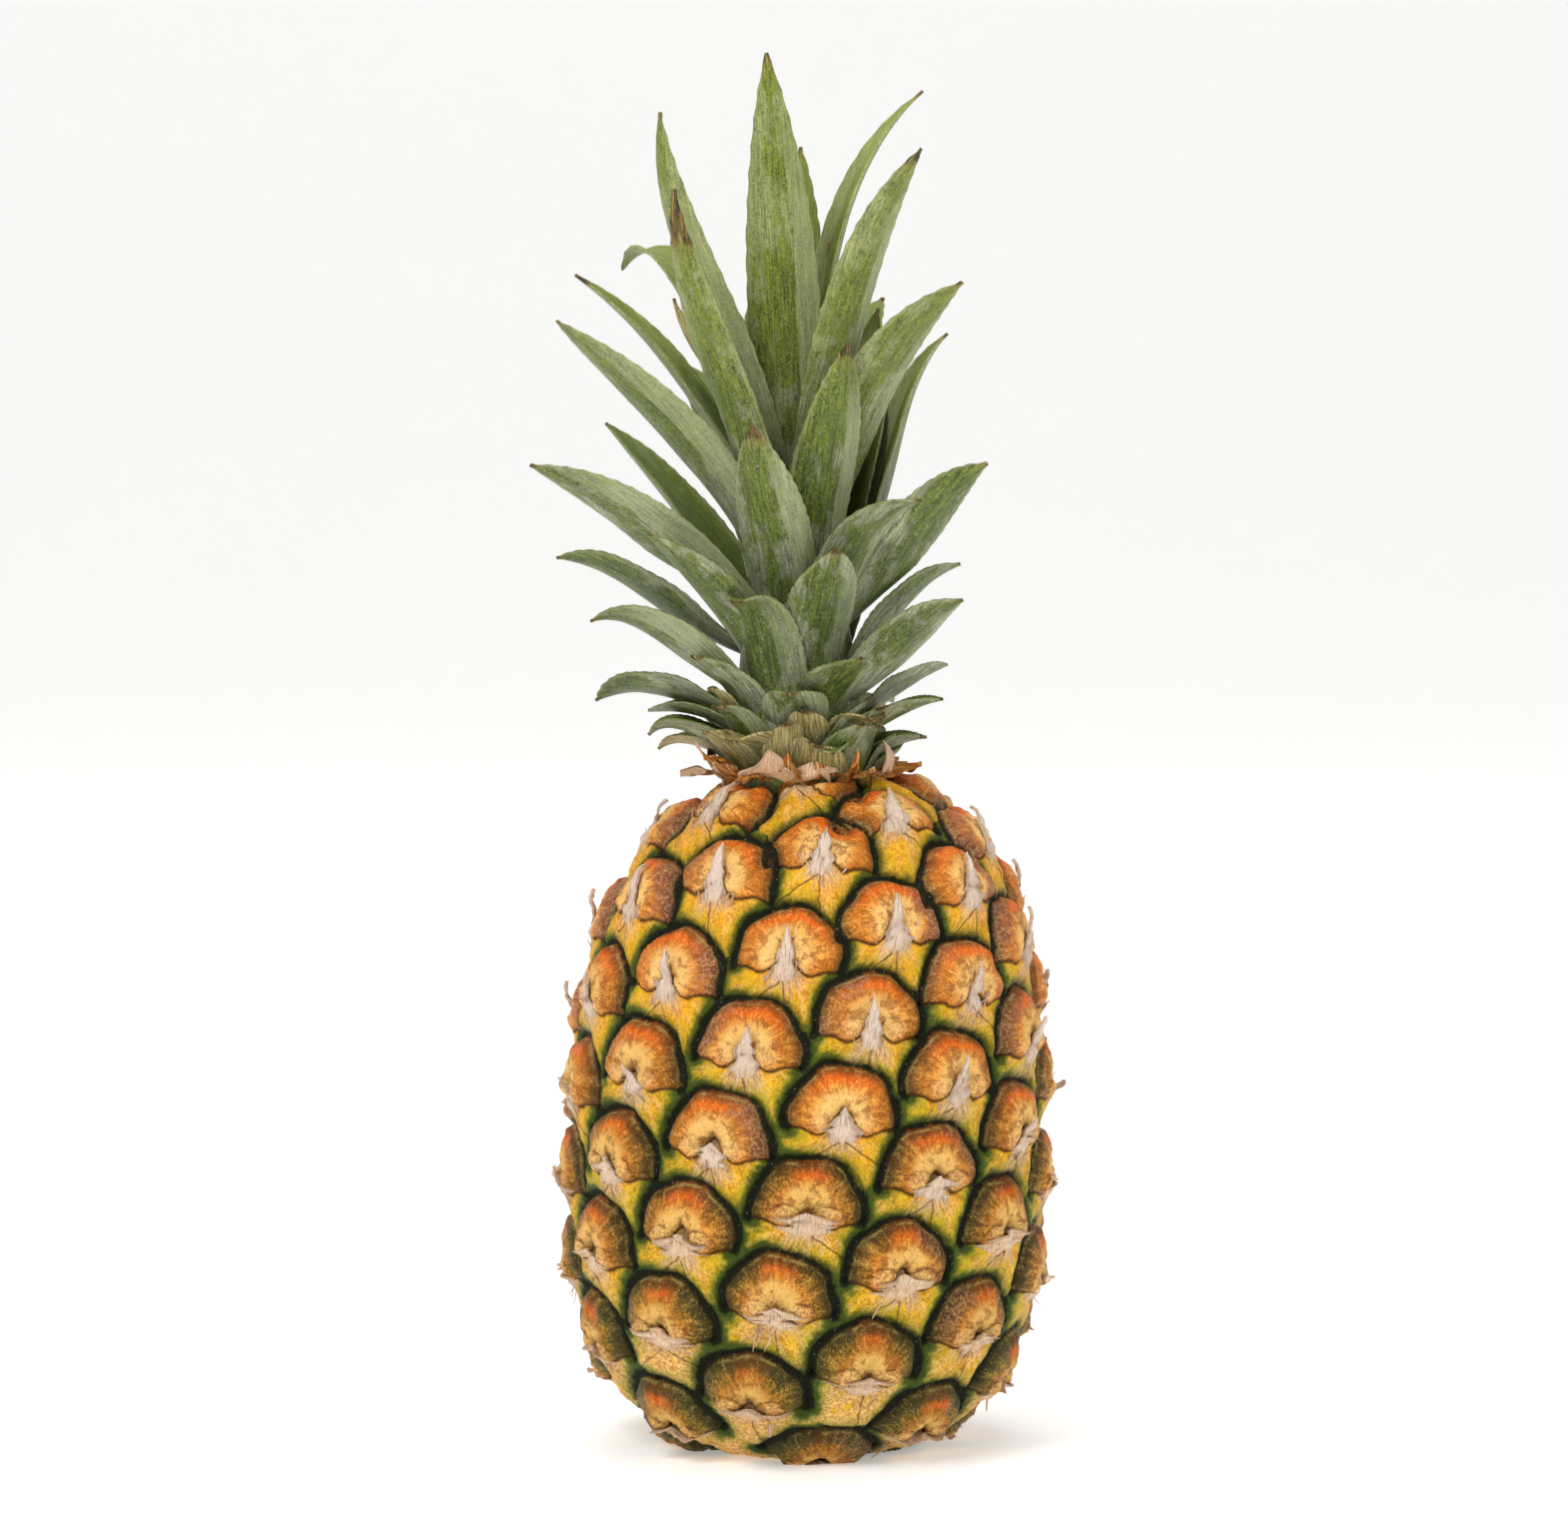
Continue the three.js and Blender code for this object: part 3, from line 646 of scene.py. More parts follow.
# ---- the rind ----
def rind_material(settings):
    """Eyes in dark grooves: orange and brown domes, yellow and green bract fields with papery patches.
    Painted shade darkens the grooves, the crease under each dome, the dome's outer ring and the field beside
    the grooves.
    """
    s = Shader("waxy_rind")
    place = s.object_place()
    right, up = [(part - 0.5) * EYE_SPAN for part in s.map_pair("eye_place")]
    edge, seed = s.map_pair("eye_edge")
    groove = (edge - 0.5) * EYE_SPAN
    level = s.parts(place)[2] / FRUIT_TOP
    second = (seed * SECOND_SEED).fract()
    third = (seed * THIRD_SEED).fract()
    coarse = s.noise(place, 8.0, 2)
    middling = s.noise(place, 2.6, 3, 0.6)
    grain = s.noise(place, 0.75, 3, 0.7)
    fine = s.noise(place, 0.3, 2, 0.7)
    warp = middling.stray(2.4)

    higher = up - DOME_HEART
    bearing = higher.maths("ARCTAN2", right)
    reach = (right * right + higher * higher).sqrt()
    rays = s.vector(bearing.maths("COSINE") * 7, bearing.maths("SINE") * 7, reach * 0.17 + seed * 40)
    streak = s.noise(rays, 0.9, 3, 0.65)
    hair = s.noise(rays, 0.28, 2, 0.7)

    off = right - (seed - 0.5) * CREASE_STRAY
    above = up - (off.peak(2.5) * (second * 3.0 + 1.4) - (abs(off) - 5.6).peak(2.8) * 1.5 - 0.6)
    on_dome = above.ease(-0.12, 0.12) * groove.ease(-0.08, 0.08)
    high = (level + second.stray(0.2)).ease(0.42, 0.74)
    low = (level + third.stray(0.15)).ease(0.4, 0.06)
    plain = 1 - high

    # the dome: brown flanks with an orange crest, an olive ring that painted shade darkens toward the groove,
    # bruises and two cheeks
    deep = groove + warp * 0.6 + streak.stray(1.1) + grain.stray(1.2)
    crest = (higher / (reach + 0.5) - abs(off) * 0.02 + warp * 0.1).ease(0.6 - high * 0.7, 0.97)
    heart = reach + warp * 0.9 + streak.stray(4.0) + grain.stray(2.0) + low * 1.6
    flank = (streak * 0.5 + grain * 0.5).fade(settings["brown"], "91662A", 0.42, 0.58).coated(
        (high * 0.7, "B5681A"),
        (low * 0.8, grain.fade("3D420F", "6B6420")),
    )
    band = (crest * (1 - low * third.ease(0.2, 0.5) * 0.75)).blend(flank, settings["orange"]).coated(
        (middling.ease(0.5, 0.66) * crest * 0.6, "AE3F08"),
        ((hair * 0.5 + grain * 0.5).ease(0.5, 0.6) * 0.4, "DDA345"),
    )
    # Olive ring round the dome's edge: its own olive and brown, made darker toward the groove as painted
    # shade
    olive_ring_and_shade = (crest * 0.7).blend("332C0C", "6A390E").coated((high * 0.5, "84481A"), (low * 0.7, "26350B"))
    bruise = (third + high * 0.5).ease(0.75, 1.0) * (off * (second - 0.45) * 2 + warp * 0.6).ease(0.2, 2.6)
    bruise = bruise * deep.ease(6.5, 4.0) * (grain + coarse).ease(0.86, 1.04)
    cheek = (abs(off) - 4.9).maths("POWER", 2) + (up - 0.9) * (up - 0.9) * 1.6
    cheek = cheek.sqrt() + warp * 0.5
    arc = (cheek - 3.5 - streak.stray(2.0)).peak(0.34) * up.ease(0.8, 1.8) * middling.ease(0.38, 0.5)
    grit = fine + streak.stray(0.6)
    rim = (groove - 1.1 - grain.stray(0.9)).peak(0.26) * middling.ease(0.42, 0.56)
    dome = (streak * 0.6 + grain * 0.4).fade("A35D1A", "DA9A45", 0.42, 0.58).coated(
        ((coarse + third.stray(0.2)).ease(0.48, 0.62) * 0.6, "C4761F"),
        (low * 0.55, "8F6A1E"),
        (heart.ease(7.5, 4.2) * 0.85, settings["cream"]),
        (hair.ease(0.5, 0.64) * middling.ease(0.4, 0.55) * 0.3, "7A4219"),
        (hair.ease(0.46, 0.36) * heart.ease(9.0, 6.0) * 0.3, "F5E2BC"),
        (middling.ease(0.5, 0.62) * 0.7, "854E1C"),
        ((deep - low * 0.9 - (1 - crest) * plain * 0.9).ease(5.6, 3.2), band),
        ((deep - low * 0.9 + high * 0.6).ease(4.2, 1.5) * 0.92, olive_ring_and_shade),
        (bruise * 0.8, grain.fade("5E3A34", "9A7468", 0.45, 0.6)),
        (cheek.ease(3.6, 2.0) * plain * 0.65, grain.fade("B07A58", "EBCFA6")),
        (arc * plain * 0.85, "5A2E12"),
        (hair.ease(0.5, 0.66) * deep.ease(3.6, 1.6) * 0.4, "3F2C0C"),
        (grit.ease(0.58, 0.7) * 0.4, "F0CE8C"),
        (grit.ease(0.42, 0.3) * 0.35, "6A3510"),
        (rim * 0.6, "A79C72"),
        (off.peak(1.1) * (above - 1.0).peak(1.2) * 0.45, "4E2811"),
    )

    # the bract's field: green near the grooves, darkened right at them as painted shade, pale paper under the
    # point, and three cracks
    out = warp * 0.5 + streak.stray(2.4) + abs(groove)
    wing = abs(right).ease(4.0, 11.0)
    near = (out - low).ease(5.6, 1.0) * (0.55 + wing * 0.45 - high * 0.15)
    tan = grain.fade("C08F68", "F0D2AE")
    spread = abs(off) / (2.2 - up * 0.6 + low * 4.0).maths("MAXIMUM", 0.7)
    fall = (up + streak.stray(11.0) - low * 3 - high * 1.5).ease(-9.5, -4.0)
    patch = (spread + streak.stray(2.4) + middling.stray(0.9)).ease(1.2, 0.65) * fall
    paper = hair.fade(settings["paper"], "A88C7C", 0.42, 0.6)
    paper = paper.coated((streak.ease(0.5, 0.64) * 0.65, "8C624A"))
    crack_right = (off - up * 1.3 - 4.2 + warp * 0.9).peak(0.34) * up.ease(-2.2, -3.4) * second.ease(0.3, 0.4)
    crack_down = (off + up * 0.12 + 0.6 + warp * 0.6).peak(0.26) * up.ease(-3.0, -4.4) * third.ease(0.4, 0.5)
    crack_left = (off + up * 1.6 + 4.6 + warp * 0.9).peak(0.3) * up.ease(-2.2, -3.4) * third.ease(0.5, 0.4)
    field = grain.fade("B98A1A", settings["yellow"], 0.34, 0.54).coated(
        (streak.ease(0.5, 0.62) * 0.5, "E6BE8A"),
        (hair.ease(0.52, 0.64) * 0.5, "94541A"),
        (coarse.ease(0.5, 0.6) * 0.5, "D2BE1C"),
        (high * 0.4, "D08A1A"),
        ((streak + low * 0.16).ease(0.5, 0.62) * (0.1 + low * 0.7), tan),
        (middling.ease(0.52, 0.64) * 0.5, "9A5F22"),
        (near, grain.fade("506A0C", settings["green"])),
        # painted shade: deep green along the grooves, widest toward the junctions and on the lower eyes
        ((out - wing * 1.2 - low * 0.6).ease(2.4, 0.5) * 0.85, "263A0A"),
        (patch * 0.75, (low * 0.6).blend(paper, tan)),
        (crack_right * 0.85, "3F240F"),
        (crack_down * 0.75, "3F240F"),
        (crack_left * 0.75, "3F240F"),
    )

    # Painted shade: a thin dark brown line along the crease between dome and field, also cut into the bump
    split = (above + middling.stray(0.6)).peak(0.4) * groove.ease(0.2, 1.0)
    # The grooves' own near-black green with painted shade, widened toward the junctions and on the lower eyes
    width = 0.2 + abs(off).ease(4.0, 11.0) * 0.6 + low * 0.35 + middling.stray(2.2) + grain.stray(0.6)
    groove_colour_and_shade = abs(groove + 0.1).ease(width + 0.75, width - 0.15)
    warmth = high.blend((1.16, 1.04, 0.62), (1.34, 1.2, 0.86))
    speck = s.noise(place, 0.45, 1).ease(0.71, 0.79) * abs(groove).ease(3.0, 0.8)
    colour = on_dome.blend(field, dome).coated((split * 0.92, "34180A"), (groove_colour_and_shade * 0.97, settings["groove"]))
    colour = colour.tinted(warmth, 1 - patch * (1 - on_dome) * 0.6)
    colour = colour.tinted(0.5 + grain * 0.4 + fine * 0.26 + middling * 0.44).coated((speck * 0.5, "C9CBB4"))
    rough = 0.44 + (1 - on_dome) * 0.1 + patch * 0.25 + grain.stray(0.3) + groove_colour_and_shade * 0.25
    height = streak * 0.5 + hair * 0.22 + grain * 0.45 + fine * 0.2 - split * 0.5 - groove_colour_and_shade * 0.3
    return s.close(colour, rough, height - crack_left * 0.3, 0.0011, **{GLOSS: 0.2})


class PINEAPPLE_OT_rind(bpy.types.Operator):
    """Builds the fruit's rind: domes in grooves above the fields of their bracts"""

    bl_idname = "pineapple.rind"
    bl_label = "Rind"

    def execute(self, context):
        settings = context.scene.pineapple_rind
        select_none()
        bpy.ops.mesh.primitive_uv_sphere_add(segments=160, ring_count=120, radius=1)
        rind = named("fruit_rind")
        set_points(rind.data, placed(on_barrel(points_of(rind.data) * (1, 1, 1.4))))
        apply_modifier(rind, "REMESH", mode="VOXEL", voxel_size=settings.mesh_size)
        points = points_of(rind.data)
        points[:, 0] -= sway(points[:, 2])
        smooth = on_barrel(points - (0, 0, WIDEST_LEVEL))
        eye, on_dome, groove, seam = PATTERN.survey(smooth)
        right, up = PATTERN.local(smooth, eye)
        rise = skin_rise(right, up, on_dome, groove, seam, PATTERN.seeds[eye], PATTERN.levels[eye])
        spots = on_skin(smooth, rise, 0)
        self.cut_pocket(spots)
        set_points(rind.data, spots)
        self.write_maps(rind.data, smooth, groove)
        finished(rind, rind_material(colours_of(settings)), "fruit", 80)
        return {"FINISHED"}

    @staticmethod
    def cut_pocket(spots):
        """Opens the foot for the cut stalk."""
        wall = STALK_RADIUS + FIT_GAP
        away = np.hypot(spots[:, 0], spots[:, 1])
        under = (spots[:, 2] < 1) & (away < wall)
        shrink = np.minimum(wall - 0.15, away[under]) / np.maximum(away[under], 1e-6)
        spots[under, :2] *= shrink[:, None]
        spots[under, 2] = STALK_HEIGHT + FIT_GAP

    @staticmethod
    def write_maps(mesh, smooth, groove):
        """Keeps each face corner's place in its eye, its distance from the groove and its eye's seed. All
        corners of a face belong to one eye, and away from a groove to one side of it."""
        ids = corner_ids(mesh)
        totals = np.empty(len(mesh.polygons), np.int32)
        mesh.polygons.foreach_get("loop_total", totals)
        face = np.repeat(np.arange(len(totals)), totals)
        middle = np.zeros((len(totals), 3))
        np.add.at(middle, face, smooth[ids])
        middle = on_barrel(middle / totals[:, None])
        eye, on_dome, face_groove, _ = PATTERN.survey(middle)
        seeds = PATTERN.seeds[eye]
        right, up = PATTERN.local(middle, eye)
        under = (up - crease_level(right, seeds) > -1.5) & (dome_depth(right, up, seeds) > 0)
        signed = np.where((on_dome | under)[face], 1, -1) * np.abs(groove[ids])
        edge = np.where(np.abs(face_groove[face]) > 1.0, signed, groove[ids])
        right, up = PATTERN.local(smooth[ids], eye[face])
        set_map(mesh, "eye_place", np.stack([right, up], 1) / EYE_SPAN + 0.5)
        set_map(mesh, "eye_edge", np.stack([edge / EYE_SPAN + 0.5, seeds[face]], 1))


# ---- blades: leaves, bracts, scales and fibres are one flat template, bent to its place ----
def blade_template(across, along):
    """A flat closed blade: x from -1 to 1 across, y from 0 to 1 along, z 0 on its back and 1 on its face."""
    select_none()
    bpy.ops.mesh.primitive_grid_add(x_subdivisions=across, y_subdivisions=along, size=2)
    blade = bpy.context.active_object
    flat = points_of(blade.data, 1)
    flat[:, 1] = flat[:, 1] / 2 + 0.5
    set_points(blade.data, flat, 1)
    apply_modifier(blade, "SOLIDIFY", thickness=1.0, offset=1.0, use_even_offset=False)
    return blade


def write_blade_maps(mesh, over, along, layer, spread, kind):
    """Keeps each corner's share across and along its blade, its place there in millimetres, its layer, and
    two numbers for the whole blade."""
    for name, first, second in (
        ("blade_share", over / 2 + 0.5, along),
        ("blade_mm", spread[0] / BLADE_SPANS[0] + 0.5, spread[1] / BLADE_SPANS[1]),
        ("blade_kind", *kind),
        ("blade_side", layer, along),
    ):
        pairs = np.stack([first + 0 * over, second + 0 * over], 1)
        set_map(mesh, name, pairs[corner_ids(mesh)])


def shaped_blade(template, parts, points, spread, kind):
    """A copy of the template with its corners at points. parts are the corners' across, along and layer."""
    blade = template.copy()
    blade.data = template.data.copy()
    bpy.context.scene.collection.objects.link(blade)
    set_points(blade.data, points)
    write_blade_maps(blade.data, *parts, spread, kind)
    return blade


def bent_blades(name, faces, shapes, core=None):
    """One object from bent copies of a blade. shapes turns the corners' across, along and layer into each
    copy's points, spread and kind."""
    template = blade_template(*faces)
    over, along, layer = points_of(template.data, 1).T
    parts = (over, along, np.round(layer - layer.min()))
    blades = [shaped_blade(template, parts, *shape) for shape in shapes(*parts)]
    if core:
        blades.append(core())
    bpy.data.objects.remove(template)
    return joined(blades, name)


# ---- the crown ----
def core_radius(level):
    part = np.clip(level / CORE_HEIGHT, 0, 1)
    return ROOT_RADIUS * (1 - CORE_TAPER * part ** 1.5)


def on_crown(points):
    """Sets points of the crown on the fruit, with the crown's lean."""
    spots = np.array(points, float)
    spots[..., 0] += CROWN_X + CROWN_LEAN * np.maximum(spots[..., 2], 0)
    spots[..., 2] += CROWN_BASE
    return spots


def leaf_traits(leaf):
    """What the rule gives for a leaf, with its own habits laid over it."""
    age = (leaf - LEAF_FIRST) / (LEAF_LAST - LEAF_FIRST)
    heart = max((leaf - HEART_FIRST) / (LEAF_LAST - HEART_FIRST), 0)
    traits = {
        "rise": 18 + 1.3 * leaf if leaf < 0 else 18 + 2.2 * leaf + 0.065 * leaf ** 2,
        "reach": 31 + 1.3 * max(leaf, -4) if leaf < 24 else lerp(62, 50, (leaf - 24) / 12),
        "droop": lerp(104, 30, min(max((leaf - 12) / 24, 0), 1)),
        "stray": 4 * (scatter(leaf + 60) - 0.5),
        "dry": drawn(0.02, 0.14, leaf + 11),
        "tan": 0.3 * scatter(leaf + 23) if leaf < 0 else 0.0,
        "swing": 0.0,
        "roll": 0.0,
        "root": LEAF_ROOT_SPAN * age ** 1.35 + 1.5,
        "lean": lerp(30, 2, math.sqrt(age)),
        "width": LEAF_WIDTH * lerp(0.85, 1, min((leaf + 8) / 16, 1)) * lerp(1, 0.55, heart),
    }
    if leaf >= HEART_FIRST:
        traits.update(rise=lerp(168, 112, heart), reach=lerp(34, 5, heart), droop=lerp(24, 0, heart))
    if leaf in LEAF_HABITS:
        rise, reach, droop, others = LEAF_HABITS[leaf]
        traits.update(others, rise=rise, reach=reach, droop=droop)
    traits["turn"] = math.radians(LEAF_PHASE - LEAF_DIVERGENCE * leaf + traits["swing"])
    return traits


def foot_traits(k):
    """One of the small leaves that hug the stem's foot: half green, half dry."""
    root = lerp(-3.0, 8.0, (k % 5) / 4)
    return {
        "rise": root + drawn(11, 16, k + 1.2), "reach": drawn(22, 29, k + 2.2), "root": root, "lean": 54,
        "droop": drawn(20, 100, k + 3.2), "stray": drawn(-4, 4, k + 4.2), "dry": drawn(0.1, 0.8, k + 5.2),
        "tan": 0.3 * scatter(k + 6.2), "roll": drawn(-20, 20, k), "width": drawn(12, 17, k + 8.2),
        "turn": TAU * (GOLDEN_SHARE * k + 0.1 * scatter(k + 9.2)),
    }


def midrib(traits, along):
    """Places and directions on the leaf's midrib, in the upright plane through the crown's axis."""
    start = np.array([core_radius(traits["root"]) - LEAF_SINK, traits["root"]])
    tip = np.array([traits["reach"], traits["rise"]])
    span = np.linalg.norm(tip - start)
    spring, hang = math.radians(traits["lean"]), math.radians(traits["droop"])
    early = start + np.array([math.sin(spring), math.cos(spring)]) * span * MIDRIB_EARLY
    late = tip - np.array([math.sin(hang), math.cos(hang)]) * span * MIDRIB_LATE
    t = along[:, None]
    spots = (1 - t) ** 3 * start + 3 * (1 - t) ** 2 * t * early + 3 * (1 - t) * t ** 2 * late + t ** 3 * tip
    slopes = (1 - t) ** 2 * (early - start) + 2 * (1 - t) * t * (late - early) + t ** 2 * (tip - late)
    return spots, slopes / np.linalg.norm(slopes, axis=1, keepdims=True)


def blade_width(along):
    return (0.78 + 0.75 * along - 0.1 * along ** 2) * np.maximum(1 - along ** 2.3, 0) ** 0.9


def leaf_points(leaf, traits, over, along, layer, thickness):
    """Bends the flat blade into one leaf, and gives its corners' places on the blade in millimetres."""
    spots, slopes = midrib(traits, along)
    outward, side = compass(traits["turn"])
    upward = np.array([0, 0, 1.0])
    inward = -slopes[:, 1:] * outward + slopes[:, :1] * upward
    middle = spots[:, :1] * outward + spots[:, 1:] * upward
    middle = middle + (traits["stray"] * along ** 2)[:, None] * side
    roll = (math.radians(traits["roll"]) * ease(along, 0, ROLL_SPAN))[:, None]
    side, inward = np.cos(roll) * side + np.sin(roll) * inward, np.cos(roll) * inward - np.sin(roll) * side
    teeth = LEAF_TOOTH * (np.abs(over) > 0.99) * (np.sin(along * 210 + leaf) > 0.2) * ease(along, 0.15, 0.3)
    half = np.maximum(traits["width"] * blade_width(along), 0.9) / 2 + teeth
    cup = lerp(*LEAF_CUP, along) * (1 + 0.12 * lumps((along * 5, leaf, over)))
    bend = half / cup
    depth = layer * np.maximum(lerp(thickness, LEAF_TIP, along) * (1 - over ** 2), 0.55)
    furrow = 0.12 * np.sin(over * half * 2.4) * (1 - layer) * (1 - np.abs(over))
    points = middle + ((bend - depth) * np.sin(cup * over))[:, None] * side
    points = points + (bend - (bend - depth + furrow) * np.cos(cup * over))[:, None] * inward
    length = np.linalg.norm(np.diff(midrib(traits, np.linspace(0, 1, 40))[0], axis=0), axis=1).sum()
    return on_crown(points), (over * half, along * length)


def leaf_material(settings):
    """Tough leaf: grey-green bloom in streaks over darker green, fresh inner faces, dry brown tips."""
    s = Shader("crown_leaf")
    place = s.object_place()
    across, length = s.blade_place()
    side, along = s.map_pair("blade_side")
    over = s.map_pair("blade_share")[0]
    dryness, seed = s.map_pair("blade_kind")
    edge = abs(over - 0.5) * 2
    level = (s.parts(place)[2] - CROWN_BASE) / CROWN_HEIGHT
    grain, lines, patch, broad, scratch = [
        s.noise(s.vector(across * x, length * y, seed * z), *noise)
        for x, y, z, *noise in (
            (2.2, 0.12, 60, 1.0, 3, 0.65),
            (5.0, 0.06, 80, 1.0, 2, 0.5),
            (0.9, 0.4, 30, 2.6, 5, 0.72),
            (0.5, 0.22, 90, 7.0, 3, 0.6),
            (0.9, 0.6, 50, 1.1, 5, 0.82),
        )
    ]
    fine = s.noise(place, 0.55, 3, 0.75)

    green = (level + broad.stray(0.3)).fade(settings["deep"], "70801C", 0.15, 0.75).coated(
        ((patch * 0.6 + grain * 0.4).ease(0.46, 0.56) * 0.4, "8A9A2A"),
        ((fine + grain.stray(0.6)).ease(0.5, 0.38) * 0.6, "34430D"),
    )
    bloom = grain.fade("8C917C", settings["bloom"], 0.4, 0.62).coated(
        (level.ease(0.3, 0.85) * 0.6, "929E55"),
        ((fine + patch.stray(0.4)).ease(0.46, 0.36) * 0.55, "5C6940"),
    )
    rubbed = broad.stray(1.5) + patch.stray(1.6) + grain.stray(0.4) - edge.stray(0.3)
    rubbed = rubbed + along.ease(0.1, 0.6) * 0.16 - 0.1
    rubbed = (rubbed + fine.stray(0.5)).ease(-0.05, 0.08)
    back = (rubbed * 0.95).blend(bloom, green).coated(
        ((patch + fine * 0.4).ease(0.76, 0.84) * 0.65, "2B370E"),
        ((fine + patch.stray(0.5)).ease(0.58, 0.68) * 0.35, "C9CDB8"),
        (along.ease(0.3, 0.0) * 0.5, "9A9F86"),
        ((scratch + broad.stray(0.3)).ease(0.57, 0.63) * 0.5, "242F0C"),
    )
    face = grain.fade(settings["fresh"], "55692E", 0.4, 0.62).coated(
        ((broad + patch.stray(0.4)).ease(0.5, 0.62) * 0.5, "95A070"),
        (level.ease(0.45, 0.9) * 0.6, "A3AF62"),
    )
    # Painted light: a paler strip on the lit side of a fold that the blade's shape doesn't have
    fold_light_strip = (over + broad.stray(0.16) + grain.stray(0.03)).ease(0.66, 0.69)
    fold_light_strip = fold_light_strip * (seed * 57).fract().ease(0.5, 0.55)
    tan = seed.ease(0.48, 0.5) * (along + grain.stray(0.5)).ease(0.1, 0.7)
    low = level.ease(0.09, 0.0) * (along + (broad - 0.5)).ease(0.7, 0.1)
    start = 1.01 - dryness * 0.14
    dead = (along + grain.stray(0.05) + edge * 0.015).ease(start - 0.02, start + 0.01)
    ochre = (along + grain.stray(0.1)).ease(start - 0.07, start)
    brown = patch.fade(settings["dry"], "2E2410", 0.44, 0.56).coated((grain.ease(0.54, 0.64) * 0.6, "BFA878"))
    warmth = level.fade((1.0, 1.0, 0.9), (1.03, 1.02, 0.76), 0.2, 0.8)
    colour = side.fade(back, face, 0.45, 0.55).coated(
        (fold_light_strip * along.ease(0.95, 0.6) * 0.7, "A9B08C"),
        (lines.ease(0.54, 0.68) * 0.14, "B4BA9C"),
        (lines.ease(0.46, 0.34) * 0.14, "39451A"),
        ((edge - 0.93).peak(0.05) * 0.5, "A5A878"),
        (tan * 0.75, grain.fade("A08A50", "CDB98A")),
        (low * 0.45, "7F8430"),
        (ochre * 0.6, "8C8038"),
        (dead * 0.92, brown),
    )
    colour = colour.tinted(warmth).tinted(0.34 + fine * 1.14 + (grain - 0.5) + patch.stray(0.8))
    rough = 0.5 - rubbed * 0.1 + fine.stray(0.25) + dead * 0.25
    height = lines * 0.5 + grain * 0.4 + fine * 0.25 - rubbed * 0.12
    return s.close(colour, rough, height, 0.0006, **{GLOSS: 0.35})


class PINEAPPLE_OT_leaves(bpy.types.Operator):
    """Builds the crown's leaves on their short stem"""

    bl_idname = "pineapple.leaves"
    bl_label = "Crown leaves"

    def execute(self, context):
        settings = context.scene.pineapple_crown

        def shapes(*parts):
            leaves = {leaf: leaf_traits(leaf) for leaf in range(LEAF_FIRST, LEAF_LAST + 1)}
            leaves.update({LEAF_LAST + 1 + k: foot_traits(k) for k in range(FOOT_LEAVES)})
            for leaf, traits in leaves.items():
                points, spread = leaf_points(leaf, traits, *parts, settings.thickness / MM)
                seed = 0.45 * scatter(leaf + 5) + (0.5 if traits["tan"] > 0.2 else 0)
                yield points, spread, (traits["dry"], seed)

        crown = bent_blades("crown_leaves", (10, 50), shapes, self.core)
        finished(crown, leaf_material(colours_of(settings)), "crown", 60)
        return {"FINISHED"}

    @staticmethod
    def core():
        """The stem that the leaves spring from, sunk in the top of the fruit."""
        select_none()
        bpy.ops.mesh.primitive_cylinder_add(vertices=48, radius=ROOT_RADIUS * MM, depth=1)
        core = bpy.context.active_object
        bpy.ops.object.mode_set(mode="EDIT")
        bpy.ops.mesh.select_all(action="SELECT")
        bpy.ops.mesh.bisect(plane_co=(0, 0, 0), plane_no=(0, 0, 1))
        bpy.ops.object.mode_set(mode="OBJECT")
        apply_modifier(core, "SUBSURF", levels=3, subdivision_type="SIMPLE")
        x, y, share = points_of(core.data, 1).T
        level = lerp(-ROOT_DEPTH, CORE_HEIGHT, share + 0.5)
        shrink = core_radius(np.maximum(level, 0)) / ROOT_RADIUS / MM
        set_points(core.data, on_crown(np.stack([x * shrink, y * shrink, level], 1)))
        spread = (np.arctan2(x, y) * ROOT_RADIUS, level + CORE_SHIFT)
        write_blade_maps(core.data, 0 * x, 0.5, 0, spread, (0.1, 0.3))
        return core


# ---- papery bracts, fibres and the dry collar ----
def paper_material(settings):
    """Thin dry paper: pale pinkish tan, fibrous along its length, browner at its edges."""
    s = Shader("bract_paper")
    place = s.object_place()
    across, length = s.blade_place()
    over, along = s.map_pair("blade_share")
    dryness, seed = s.map_pair("blade_kind")
    grain = s.noise(s.vector(across * 3.0, length * 0.22, seed * 60), 1.0, 3, 0.6)
    fine = s.noise(place, 0.45, 3, 0.7)
    edge = abs(over - 0.5) * 2
    level = s.parts(place)[2] / FRUIT_TOP
    warm = grain.fade("DDAF82", "FFEACB")
    pale = grain.fade(settings["paper"], "EADCCB").coated(
        ((level.ease(0.6, 0.3) + level.ease(0.96, 1.0)) * 0.8, warm),
        (grain.ease(0.52, 0.66) * 0.75, "8F7058"),
        (edge.ease(0.5, 1.0) * 0.45, "94714E"),
        (along.ease(0.4, 0.0) * grain.ease(0.42, 0.55) * 0.7, "B08A4A"),
    )
    brown = grain.fade("A05210", "E0A24A").coated(
        (grain.ease(0.54, 0.64) * seed.ease(0.5, 0.8), "E6CBA4"),
        (edge.ease(0.5, 1.0) * 0.6, "6B3714"),
    )
    colour = dryness.blend(pale, brown).tinted(0.6 + fine * 0.7)
    return s.close(colour, 0.72 + fine.stray(0.2), grain * 0.6 + fine * 0.3, 0.0006, **{GLOSS: 0.3})


def finished_paper(piece, context, node):
    finished(piece, paper_material(colours_of(context.scene.pineapple_rind)), node, 60)


